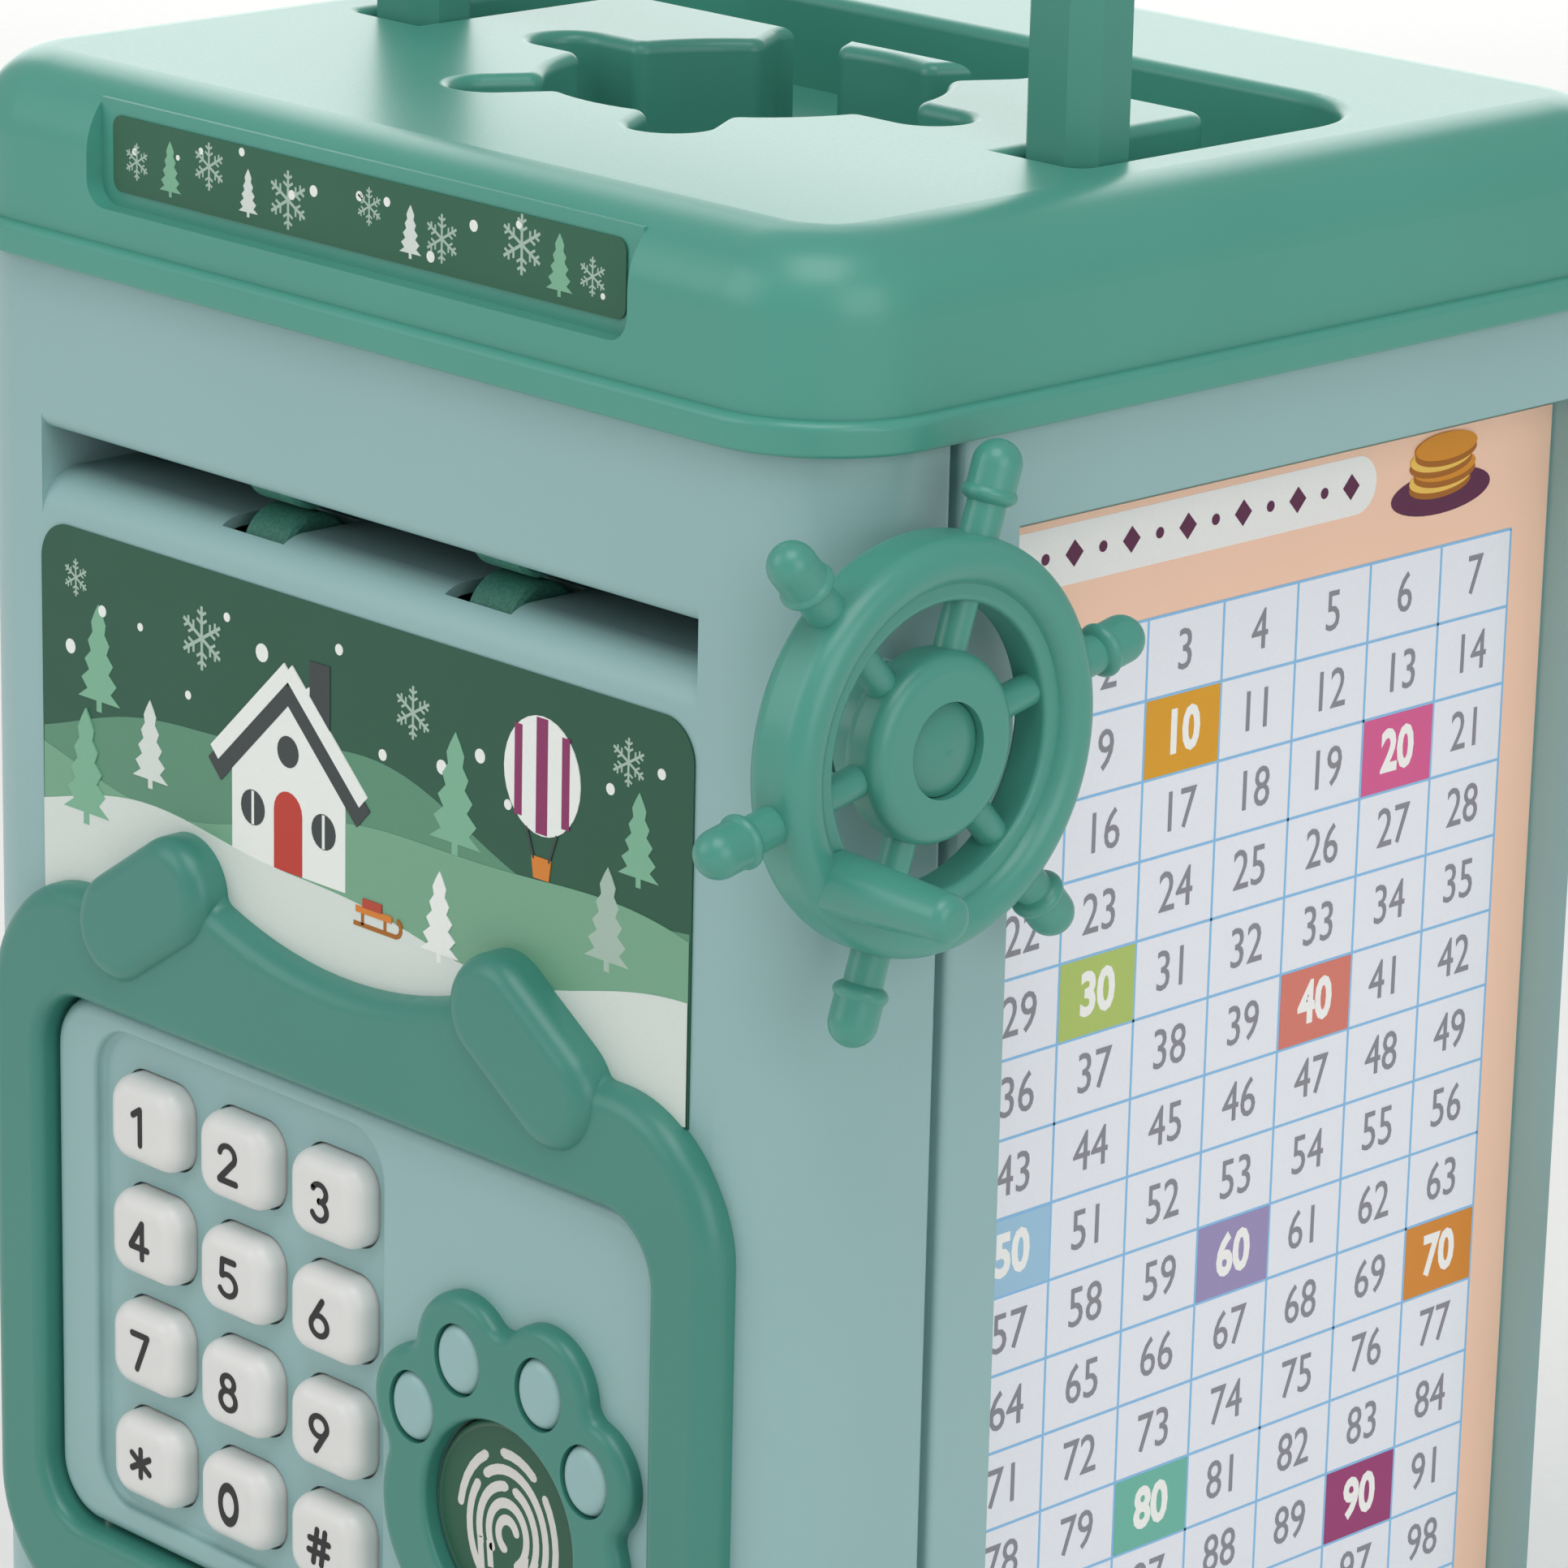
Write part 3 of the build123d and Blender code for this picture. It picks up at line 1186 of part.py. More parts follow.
def hub_cap():
    """Domed cap that hides the hub screw."""
    front = hub_front_x - wheel_mid_x
    dome_height = 0.9
    sphere_radius = (cap_radius**2 + dome_height**2) / (2 * dome_height)
    rim_z = front - cap_pocket + 0.7
    cap = upright(Circle(cap_radius), front - cap_pocket, rim_z + dome_height)
    ball = Pos(0, 0, rim_z + dome_height - sphere_radius) * Sphere(sphere_radius)
    return wheel_place() * (cap & ball)


def hub_screw():
    """Screw that holds the crank wheel on its shaft."""
    return wheel_place() * Pos(0, 0, -1.0) * screw(9.0, 0.68)


# ---- screws ----
INTO_FRONT = Rot(-90, 0, 0)     # head towards +Y, shank towards -Y
UPWARDS = Rot(180, 0, 0)        # head below, shank up


def base_screws():
    z = screw_head_height + base_screw_sink
    places = [(x, y, z) for x in (-boss_x, boss_x) for y in (boss_front_y, boss_back_y)]
    return screws_at(places, UPWARDS, base_screw_length)


def lid_screws():
    z = lid_rim_z - 2.7
    places = [(x, y, z) for x in (-boss_x, boss_x) for y in (boss_front_y, boss_back_y)]
    return screws_at(places, UPWARDS, lid_screw_length)


def housing_screws():
    heights = (housing_screw_low_z, housing_screw_high_z)
    places = [(x, shell_front_y, z) for x in (-housing_screw_x, housing_screw_x) for z in heights]
    return screws_at(places, INTO_FRONT, housing_screw_length)


def frame_screws():
    places = [(x, front_y + wall, z) for x, z in frame_screw_places()]
    return screws_at(places, INTO_FRONT, frame_screw_length)


def bracket_screws():
    places = [(x, split_y - bridge_gap, bracket_screw_z) for x in (-bracket_screw_x, bracket_screw_x)]
    return screws_at(places, INTO_FRONT, bracket_screw_length)


def keeper_screws():
    heights = (bolt_z - keeper_screw_reach, bolt_z + keeper_screw_reach)
    places = [(keeper_screw_x, bolt_y - bolt_thickness / 2 - keeper_gap, z) for z in heights]
    return screws_at(places, INTO_FRONT, keeper_screw_length)


def board_screws():
    places = [(x, board_y + board_thickness, z) for x, z in board_screw_places()]
    fastener = screw(board_screw_length, small_screw_radius)
    return Compound(children=[Pos(x, y, z) * INTO_FRONT * fastener for x, y, z in places])


def battery_screw():
    place = Pos(battery_screw_x, door_back_y + door_cover + 1.2, door_mid_z)
    return place * INTO_FRONT * screw(battery_screw_length, small_screw_radius)


def key_names():
    """Node names of the keys in the order of key_places."""
    legends = ["1", "2", "3", "4", "5", "6", "7", "8", "9", "star", "0", "hash"]
    return ["key_" + legend for legend in legends]


def model():
    """Every node of the money box, by name."""
    nodes = {
        "body_shell": body_shell(),
        "base": base(),
        "front_housing": front_housing(),
        "lid": lid(),
        "lid_label": lid_label(),
        "handle": handle(),
        "chart_left": chart(-1),
        "chart_right": chart(1),
        "front_picture": front_picture(),
        "door_frame": door_frame(),
        "door_hinge_pins": door_hinge_pins(),
        "door_panel": door_panel(),
        "keypad_mat": keypad_mat(),
        "circuit_board": circuit_board(),
        "door_back_cover": door_back_cover(),
        "battery_cover": battery_cover(),
        "battery_tray": battery_tray(),
        "battery_cells": battery_cells(),
        "battery_contacts": battery_contacts(),
        "lock_solenoid": lock_solenoid(),
        "lock_bolt": lock_bolt(),
        "lock_keeper": lock_keeper(),
        "speaker": speaker(),
        "paw_bezel": paw_bezel(),
        "toe_pads": toe_pads(),
        "scanner_button": scanner_button(),
        "roller_shaft": roller_shaft(),
        "drive_roller_left": roller(shaft_z, drive_roller_radius, -roller_x),
        "drive_roller_right": roller(shaft_z, drive_roller_radius, roller_x),
        "idler_shaft": idler_shaft(),
        "idler_roller_left": roller(idler_z, idler_roller_radius, -roller_x),
        "idler_roller_right": roller(idler_z, idler_roller_radius, roller_x),
        "roller_bracket": roller_bracket(),
        "shaft_bushes": shaft_bushes(),
        "crank_wheel": crank_wheel(),
        "hub_cap": hub_cap(),
        "hub_screw": hub_screw(),
        "base_screws": base_screws(),
        "lid_screws": lid_screws(),
        "housing_screws": housing_screws(),
        "frame_screws": frame_screws(),
        "bracket_screws": bracket_screws(),
        "keeper_screws": keeper_screws(),
        "board_screws": board_screws(),
        "battery_screw": battery_screw(),
    }
    for name, (x, z) in zip(key_names(), key_places()):
        nodes[name] = Pos(x, 0, z) * key()
    return nodes


os.makedirs("parts", exist_ok=True)
for node_name, shape in model().items():
    export_step(shape, os.path.join("parts", node_name + ".step"))
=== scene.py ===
"""A child's cash-machine money box in moulded plastic, standing on a pale floor."""
import json
import math
import random

import bmesh
import bpy
from mathutils import Matrix, Vector


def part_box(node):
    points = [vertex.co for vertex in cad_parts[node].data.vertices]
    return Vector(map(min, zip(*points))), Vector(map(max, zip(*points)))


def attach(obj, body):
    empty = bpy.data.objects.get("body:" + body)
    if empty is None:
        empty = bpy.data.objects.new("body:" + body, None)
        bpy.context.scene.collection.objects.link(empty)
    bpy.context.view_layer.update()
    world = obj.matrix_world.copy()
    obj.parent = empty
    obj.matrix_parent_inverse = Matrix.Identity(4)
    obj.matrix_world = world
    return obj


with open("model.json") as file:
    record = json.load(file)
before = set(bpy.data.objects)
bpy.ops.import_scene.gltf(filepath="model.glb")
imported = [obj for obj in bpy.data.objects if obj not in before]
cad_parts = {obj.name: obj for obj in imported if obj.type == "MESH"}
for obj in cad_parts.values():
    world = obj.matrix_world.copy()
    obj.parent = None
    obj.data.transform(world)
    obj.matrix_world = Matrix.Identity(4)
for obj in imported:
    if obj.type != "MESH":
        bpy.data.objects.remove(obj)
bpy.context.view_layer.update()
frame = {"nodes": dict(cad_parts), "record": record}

MM = 0.001
scene = bpy.context.scene

# ---- colours ----
# plastics
TEAL = "96BBBB"
SEA_GREEN = "489383"
PINE_GREEN = "40897B"
# the lid is the same sea green plastic as SEA_GREEN, made lighter here: painted light
LID_SEA_GREEN_PAINTED_LIGHT = "4E9D8C"
# the crank wheel is the same sea green plastic, made lighter where it faces the light: painted light
WHEEL_SEA_GREEN_PAINTED_LIGHT = "4C9989"
MOSS_GREEN = "3A6853"
WARM_WHITE = "E3E3E1"
GREY_TEAL = "8FB0B0"
# printing on the front picture and the lid's strip
NIGHT_GREEN = "255A45"
HILL_GREEN = "76A98B"
FAR_HILL_GREEN = "5C9175"
SNOW = "D9E2DC"
PALE_SNOW = "EEF2EE"
FROST = "A8C0B2"
TREE_GREEN = "7DB596"
LEAF_GREEN = "31664E"
ROOF_GREY = "3A4142"
DOOR_RED = "C0392B"
BASKET_ORANGE = "D9822B"
BLANKET_RED = "B9452F"
STRIPE_MAGENTA = "8C2F63"
# printing on the savings chart
PEACH = "FCD1B7"
DEEPER_PEACH = "F7CBB1"
CHART_WHITE = "ECEFF6"
HEADING_WHITE = "F2F1EF"
GRID_BLUE = "8CC1EA"
NUMBER_GREY = "8B8B93"
TENS_WHITE = "F7F7F4"
BURGUNDY = "5C1E46"
AMBER = "D98E1F"
DARK_AMBER = "A8640F"
PALE_AMBER = "F2C55A"
# printing on the keys and the round button
LEGEND_BLACK = "1E1E20"
BUTTON_GREEN = "275A44"
RIDGE_WHITE = "DAD8D2"
TENS = {
    10: "DFA01F",
    20: "D95C93",
    30: "B1C76A",
    40: "DA7C6C",
    50: "9FC8E2",
    60: "9C8FBC",
    70: "D98A2E",
    80: "6DB9A5",
    90: "9B3671",
    100: "C75B4A",
}


def linear(hex_colour):
    """An sRGB hex colour as linear red, green, blue and alpha."""
    channels = [int(hex_colour[i:i + 2], 16) / 255 for i in (0, 2, 4)]
    straight = [c / 12.92 if c <= 0.04045 else ((c + 0.055) / 1.055) ** 2.4 for c in channels]
    return (*straight, 1.0)


# ---- materials ----
ABS_IOR = 1.53
FILM_IOR = 1.4           # a thin laminate over ink mirrors less than a solid block of the same plastic
RUBBER_IOR = 1.52
LACQUER_IOR = 1.5
FLOW_MM = 28             # slow changes of tone, left where the melt flowed in the mould
MOULD_GRAIN_MM = 0.45    # the real grain is about 0.1 mm; coarser here, so that it shows
FILM_WAVE_MM = 9
INK_DOT_MM = 0.3         # the real printing screen is about 0.15 mm; coarser here, so that it shows
FILM_CLOUD_MM = 18
RUBBER_PORE_MM = 0.35    # real pores are about 0.1 mm; coarser here, so that they show
DRAWING_LINE_MM = 0.15   # real drawing lines are about 0.03 mm; coarser here, so that they show
TRACK_MM = 5
PAPER_FIBRE_MM = 3       # real fibres are about 1 mm; coarser here, so that they show


def add(material, kind, inputs=None, **settings):
    """Adds one node with its settings; inputs are values or other nodes' outputs."""
    node = material.node_tree.nodes.new(kind)
    for key, value in settings.items():
        setattr(node, key, value)
    for key, value in (inputs or {}).items():
        if isinstance(value, bpy.types.NodeSocket):
            material.node_tree.links.new(value, node.inputs[key])
        else:
            node.inputs[key].default_value = value
    return node


def new_material(name):
    """An empty node material."""
    material = bpy.data.materials.new(name)
    material.use_nodes = True
    material.node_tree.nodes.clear()
    return material


def close_material(material, shader):
    """Sends the shader to the surface."""
    add(material, "ShaderNodeOutputMaterial", {"Surface": shader.outputs["BSDF"]})
    return material


def moulded_abs(name, colour, deeper, roughness):
    """Injection-moulded ABS."""
    # even colour with a slow drift of tone, a satin sheen that softens highlights, and a faint mould grain
    material = new_material(name)
    place = add(material, "ShaderNodeTexCoord").outputs["Object"]
    flow = add(material, "ShaderNodeTexNoise", {"Vector": place, "Scale": 1 / (FLOW_MM * MM), "Detail": 2.0})
    tone = add(
        material,
        "ShaderNodeMix",
        {"Factor": flow.outputs["Fac"], "A": linear(colour), "B": linear(deeper)},
        data_type="RGBA",
    )
    grain = add(
        material, "ShaderNodeTexNoise", {"Vector": place, "Scale": 1 / (MOULD_GRAIN_MM * MM), "Detail": 3.0}
    )
    sheen = add(
        material,
        "ShaderNodeMapRange",
        {"Value": grain.outputs["Fac"], "To Min": roughness - 0.05, "To Max": roughness + 0.05},
    )
    relief = add(
        material,
        "ShaderNodeBump",
        {"Height": grain.outputs["Fac"], "Strength": 0.35, "Distance": 0.004 * MM},
    )
    shader = add(
        material,
        "ShaderNodeBsdfPrincipled",
        {
            "Base Color": tone.outputs["Result"],
            "Roughness": sheen.outputs["Result"],
            "Normal": relief.outputs["Normal"],
            "IOR": ABS_IOR,
        },
    )
    return close_material(material, shader)


def printed_film(name):
    """Ink under the laminate of a self-adhesive film."""
    # the ink's own colour with a faint unevenness of the printing, under a smooth and slightly wavy gloss
    material = new_material(name)
    ink = add(material, "ShaderNodeAttribute", attribute_name="ink")
    place = add(material, "ShaderNodeTexCoord").outputs["Object"]
    wave = add(
        material, "ShaderNodeTexNoise", {"Vector": place, "Scale": 1 / (FILM_WAVE_MM * MM), "Detail": 1.0}
    )
    dots = add(
        material, "ShaderNodeTexNoise", {"Vector": place, "Scale": 1 / (INK_DOT_MM * MM), "Detail": 2.0}
    )
    shade = add(
        material, "ShaderNodeMapRange", {"Value": dots.outputs["Fac"], "To Min": 0.96, "To Max": 1.03}
    )
    colour = add(
        material,
        "ShaderNodeVectorMath",
        {0: ink.outputs["Color"], "Scale": shade.outputs["Result"]},
        operation="SCALE",
    )
    gloss = add(
        material, "ShaderNodeMapRange", {"Value": wave.outputs["Fac"], "To Min": 0.3, "To Max": 0.4}
    )
    relief = add(
        material,
        "ShaderNodeBump",
        {"Height": wave.outputs["Fac"], "Strength": 0.15, "Distance": 0.05 * MM},
    )
    shader = add(
        material,
        "ShaderNodeBsdfPrincipled",
        {
            "Base Color": colour.outputs["Vector"],
            "Roughness": gloss.outputs["Result"],
            "Normal": relief.outputs["Normal"],
            "IOR": FILM_IOR,
        },
    )
    return close_material(material, shader)


def plain_film(name, colour, deeper):
    """The evenly tinted ground of a laminated film."""
    # one flat tint with very soft clouds in tone and in gloss
    material = new_material(name)
    place = add(material, "ShaderNodeTexCoord").outputs["Object"]
    cloud = add(
        material, "ShaderNodeTexNoise", {"Vector": place, "Scale": 1 / (FILM_CLOUD_MM * MM), "Detail": 2.0}
    )
    tone = add(
        material,
        "ShaderNodeMix",
        {"Factor": cloud.outputs["Fac"], "A": linear(colour), "B": linear(deeper)},
        data_type="RGBA",
    )
    gloss = add(
        material, "ShaderNodeMapRange", {"Value": cloud.outputs["Fac"], "To Min": 0.3, "To Max": 0.4}
    )
    shader = add(
        material,
        "ShaderNodeBsdfPrincipled",
        {"Base Color": tone.outputs["Result"], "Roughness": gloss.outputs["Result"], "IOR": FILM_IOR},
    )
    return close_material(material, shader)


def rubber(name, colour, deeper):
    """Soft moulded rubber."""
    # a dull skin with fine pores, so it hardly mirrors anything
    material = new_material(name)
    place = add(material, "ShaderNodeTexCoord").outputs["Object"]
    pores = add(material, "ShaderNodeTexVoronoi", {"Vector": place, "Scale": 1 / (RUBBER_PORE_MM * MM)})
    tone = add(
        material,
        "ShaderNodeMix",
        {"Factor": pores.outputs["Distance"], "A": linear(deeper), "B": linear(colour)},
        data_type="RGBA",
    )
    relief = add(
        material,
        "ShaderNodeBump",
        {"Height": pores.outputs["Distance"], "Strength": 0.3, "Distance": 0.02 * MM},
    )
    shader = add(
        material,
        "ShaderNodeBsdfPrincipled",
        {
            "Base Color": tone.outputs["Result"],
            "Roughness": 0.62,
            "Normal": relief.outputs["Normal"],
            "IOR": RUBBER_IOR,
        },
    )
    return close_material(material, shader)


def turned_metal(name, colour, roughness):
    """Drawn or plated steel."""
    # fine lines along the part that stretch the highlights, and a soft shine
    material = new_material(name)
    place = add(material, "ShaderNodeTexCoord").outputs["Object"]
    stretch = add(material, "ShaderNodeMapping", {"Vector": place, "Scale": (0.05, 1.0, 1.0)})
    lines = add(
        material,
        "ShaderNodeTexNoise",
        {"Vector": stretch.outputs["Vector"], "Scale": 1 / (DRAWING_LINE_MM * MM), "Detail": 2.0},
    )
    tone = add(
        material,
        "ShaderNodeMapRange",
        {"Value": lines.outputs["Fac"], "To Min": roughness - 0.06, "To Max": roughness + 0.1},
    )
    shade = add(
        material,
        "ShaderNodeMix",
        {"Factor": lines.outputs["Fac"], "A": linear(colour), "B": linear("8E9194")},
        data_type="RGBA",
    )
    shader = add(
        material,
        "ShaderNodeBsdfPrincipled",
        {"Base Color": shade.outputs["Result"], "Roughness": tone.outputs["Result"], "Metallic": 1.0},
    )
    return close_material(material, shader)


def circuit_laminate(name):
    """Lacquered circuit board."""
    # green lacquer with a faint net of copper tracks showing through it
    material = new_material(name)
    place = add(material, "ShaderNodeTexCoord").outputs["Object"]
    tracks = add(
        material,
        "ShaderNodeTexBrick",
        {
            "Vector": place,
            "Color1": linear("2C6A48"),
            "Color2": linear("2F7350"),
            "Mortar": linear("4C8F63"),
            "Scale": 1 / (TRACK_MM * MM),
            "Mortar Size": 0.05,
        },
    )
    shader = add(
        material,
        "ShaderNodeBsdfPrincipled",
        {"Base Color": tracks.outputs["Color"], "Roughness": 0.35, "IOR": LACQUER_IOR},
    )
    return close_material(material, shader)


# one finish for each of the part's materials, and a finish of its own for some pieces
FINISHES = {
    "teal_plastic": moulded_abs("Moulded ABS pale teal", TEAL, "90B5B5", 0.36),
    "green_plastic": moulded_abs("Moulded ABS sea green", SEA_GREEN, "438C7C", 0.34),
    "dark_green_plastic": moulded_abs("Moulded ABS pine green", PINE_GREEN, "3B8375", 0.36),
    "key_plastic": moulded_abs("Moulded ABS warm white", WARM_WHITE, "DEDEDB", 0.34),
    "scanner_plastic": moulded_abs("Moulded ABS moss green", MOSS_GREEN, "37644F", 0.4),
    "inner_plastic": moulded_abs("Moulded ABS grey teal", GREY_TEAL, "88A9A9", 0.5),
    "roller_rubber": rubber("Moulded rubber green", "4B8F7D", "2F6F60"),
    "mat_rubber": rubber("Silicone sheet grey", "C4C8C8", "A9AEAE"),
    "board": circuit_laminate("Lacquered circuit laminate"),
    "cell_jacket": moulded_abs("Printed steel cell jacket", "3E4C58", "35424D", 0.3),
    "steel": turned_metal("Zinc-plated steel", "C3C5C8", 0.3),
    "contact_metal": turned_metal("Nickel-plated spring steel", "D0D1D2", 0.22),
    "coil": turned_metal("Pressed steel coil case", "A3A6A9", 0.38),
    "speaker_body": moulded_abs("Moulded black polypropylene", "26282A", "1F2123", 0.5),
}
SPECIAL = {
    # the lid's finish is the sea green plastic lightened: painted light
    "lid": moulded_abs("Moulded ABS sea green lid with painted light", LID_SEA_GREEN_PAINTED_LIGHT, "499685", 0.34),
    "front_picture": plain_film("Laminated film night green", NIGHT_GREEN, "21543F"),
    "lid_label": plain_film("Laminated film leaf green", LEAF_GREEN, "2C5F48"),
    "chart_left": plain_film("Laminated film peach left", PEACH, DEEPER_PEACH),
    "chart_right": plain_film("Laminated film peach right", PEACH, DEEPER_PEACH),
    # the crank wheel's finish is the sea green plastic lightened: painted light
    "crank_wheel": moulded_abs("Moulded ABS sea green wheel with painted light", WHEEL_SEA_GREEN_PAINTED_LIGHT, "479383", 0.33),
}
INK_FILM = printed_film("Laminated printing ink")

for part in frame["record"]["subparts"]:
    cad_node = frame["nodes"][part["node"]]
    finish = SPECIAL.get(part["node"]) or FINISHES[part["material_slot"]]
    cad_node.data.materials.clear()
    cad_node.data.materials.append(finish)


# ---- flat printing, drawn in millimetres on a sheet (u to the right, v up) ----
INK_THICKNESS = 0.02
INK_STEP = 0.001         # neighbouring strokes lie this much above each other, so no two share a plane
INK_TURNS = 16
ARC_STEP = 9             # degrees
TIP_SEGMENTS = 10
CAP_SHARE = 0.73         # a capital's height in the type's size


def new_print():
    """An empty print that keeps a colour on every face."""
    bm = bmesh.new()
    bm.loops.layers.float_color.new("ink")
    return bm


def ink_height(bm, level):
    """Top of the next stroke laid at a level."""
    return INK_THICKNESS * (level + 1) + INK_STEP * (len(bm.faces) // 3 % INK_TURNS)


def paint(bm, faces, colour):
    """Gives faces their ink colour."""
    ink = bm.loops.layers.float_color["ink"]
    rgba = linear(colour)
    for face in faces:
        for loop in face.loops:
            loop[ink] = rgba


def lay_ink(bm, faces, colour, level):
    """Colours flat faces and raises them to their level above the sheet."""
    height = ink_height(bm, level)
    raised = bmesh.ops.extrude_face_region(bm, geom=faces)["geom"]
    tops = [item for item in raised if isinstance(item, bmesh.types.BMVert)]
    bmesh.ops.translate(bm, verts=tops, vec=(0, 0, height))
    slab = {face for vert in tops for face in vert.link_faces} | {face for face in faces if face.is_valid}
    bmesh.ops.recalc_face_normals(bm, faces=list(slab))
    paint(bm, slab, colour)


def ink_shape(bm, points, colour, level):
    """A filled outline."""
    lay_ink(bm, [bm.faces.new([bm.verts.new((u, v, 0)) for u, v in points])], colour, level)


def ink_disc(bm, centre, radius, colour, level, squash=1.0, segments=20):
    """A filled circle or oval."""
    place = Matrix.Translation((centre[0], centre[1], 0)) @ Matrix.Diagonal((1, squash, 1, 1))
    ring = bmesh.ops.create_circle(bm, cap_ends=True, segments=segments, radius=radius, matrix=place)
    lay_ink(bm, list({face for vert in ring["verts"] for face in vert.link_faces}), colour, level)


def ink_stroke(bm, start, end, width, colour, level):
    """A straight line with square ends."""
    a, b = Vector(start), Vector(end)
    across = (b - a).orthogonal().normalized() * width / 2
    ink_shape(bm, [a - across, b - across, b + across, a + across], colour, level)


def ink_arc(bm, centre, radius, width, start, end, colour, level, stretch=1.0):
    """A curved line from one angle to another, in degrees, stretched upwards."""
    turn = Matrix.Rotation(math.radians(start), 4, "Z")
    a = bm.verts.new(turn @ Vector((radius - width / 2, 0, 0)))
    b = bm.verts.new(turn @ Vector((radius + width / 2, 0, 0)))
    steps = max(4, int(abs(end - start) / ARC_STEP))
    before = set(bm.faces)
    bmesh.ops.spin(
        bm,
        geom=[a, b, bm.edges.new((a, b))],
        cent=(0, 0, 0),
        axis=(0, 0, 1),
        angle=math.radians(end - start),
        steps=steps,
    )
    faces = [face for face in bm.faces if face not in before]
    verts = list({vert for face in faces for vert in face.verts})
    bmesh.ops.scale(bm, vec=(1, stretch, 1), verts=verts)
    bmesh.ops.translate(bm, vec=(centre[0], centre[1], 0), verts=verts)
    lay_ink(bm, faces, colour, level)
    for angle in (start, end):
        tip = (
            centre[0] + radius * math.cos(math.radians(angle)),
            centre[1] + radius * stretch * math.sin(math.radians(angle)),
        )
        ink_disc(bm, tip, width / 2, colour, level, segments=TIP_SEGMENTS)


def ink_text(bm, words, height, centre, colour, level, weight=0.0, narrow=1.0):
    """Figures set in a plain sans-serif type."""
    curve = bpy.data.curves.new("figures", "FONT")
    curve.body = words
    curve.align_x = "CENTER"
    curve.align_y = "CENTER"
    curve.size = height / CAP_SHARE
    curve.offset = weight
    curve.resolution_u = 3
    height_above = ink_height(bm, level)
    curve.extrude = height_above / 2
    holder = bpy.data.objects.new("figures", curve)
    mesh = bpy.data.meshes.new_from_object(holder)
    mesh.transform(
        Matrix.Translation((centre[0], centre[1], height_above / 2)) @ Matrix.Diagonal((narrow, 1, 1, 1))
    )
    first = len(bm.faces)
    bm.from_mesh(mesh)
    bm.faces.ensure_lookup_table()
    paint(bm, bm.faces[first:], colour)
    bpy.data.objects.remove(holder)
    bpy.data.curves.remove(curve)
    bpy.data.meshes.remove(mesh)


def sheet_plane(right, out, origin):
    """Turns a print's u, v and height, in millimetres, to the object's place, in metres."""
    up = Vector((0, 0, 1))
    columns = Matrix((right, up, out)).transposed().to_4x4()
    return Matrix.Translation(origin) @ columns @ Matrix.Diagonal((MM, MM, MM, 1))


def facing_front(origin):
    """The plane of a print that is read from the front."""
    return sheet_plane((1, 0, 0), (0, -1, 0), origin)


def box_middle(node):
    """The middle of a CAD node's front face."""
    low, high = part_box(node)
    return (low[0] + high[0]) / 2, low[1], (low[2] + high[2]) / 2


def finish_print(bm, name, body, plane, keep=False):
    """Makes a print a piece in its place, and drops the drawing unless it is kept for another piece."""
    copy = bm.copy()
    bmesh.ops.triangulate(copy, faces=copy.faces, ngon_method="EAR_CLIP")
    copy.transform(plane)
    mesh = bpy.data.meshes.new(name)
    copy.to_mesh(mesh)
    copy.free()
    mesh.materials.append(INK_FILM)
    piece = bpy.data.objects.new(name, mesh)
    scene.collection.objects.link(piece)
    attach(piece, body)
    if not keep:
        bm.free()


# ---- motifs of the winter landscape ----
TREE_TIERS = 5
TRUNK_SHARE = 0.1        # of the tree's height


def conifer(bm, foot, height, colour, level):
    """A fir tree with drooping tiers."""
    u, v = foot
    half = height * 0.3
    trunk_top = height * TRUNK_SHARE
    trunk_half = half * 0.12
    left = []
    for tier in range(TREE_TIERS):
        low = tier / TREE_TIERS
        width = half * (1 - 0.82 * low)
        left.append((-width, height * (TRUNK_SHARE + 0.9 * low)))
        left.append((-width * 0.55, height * (TRUNK_SHARE + 0.9 * (low + 0.5 / TREE_TIERS))))
    right = [(-x, y) for x, y in reversed(left)]
    trunk = [(trunk_half, trunk_top), (trunk_half, 0), (-trunk_half, 0), (-trunk_half, trunk_top)]
    points = [(u + x, v + y) for x, y in left + [(0, height)] + right + trunk]
    ink_shape(bm, points, colour, level)


FLAKE_BARBS = ((0.45, 0.24), (0.72, 0.2))    # place along the arm and length, as shares of the radius


def snowflake(bm, centre, radius, colour, level):
    """A six-armed crystal with two pairs of barbs on every arm."""
    middle = Vector(centre)
    for arm in range(6):
        turn = Matrix.Rotation(math.radians(60 * arm + 30), 2)
        ink_stroke(bm, middle, middle + turn @ Vector((radius, 0)), radius * 0.11, colour, level)
        for share, barb in FLAKE_BARBS:
            root = middle + turn @ Vector((radius * share, 0))
            for side in (-1, 1):
                tip = middle + turn @ Vector((radius * (share + barb * 0.6), side * radius * barb))
                ink_stroke(bm, root, tip, radius * 0.09, colour, level)


HILL_STEPS = 48


def hill(bm, left, right, foot, crest, waves, colour, level):
    """Rolling ground between two edges: its height follows a sum of slow waves (height, length, shift)."""
    points = [(right, foot), (left, foot)]
    for step in range(HILL_STEPS + 1):
        u = left + (right - left) * step / HILL_STEPS
        v = crest + sum(size * math.sin(u / length + shift) for size, length, shift in waves)
        points.append((u, v))
    ink_shape(bm, points, colour, level)


def rectangle(left, foot, right, top):
    """Corners of an upright rectangle."""
    return [(left, foot), (right, foot), (right, top), (left, top)]


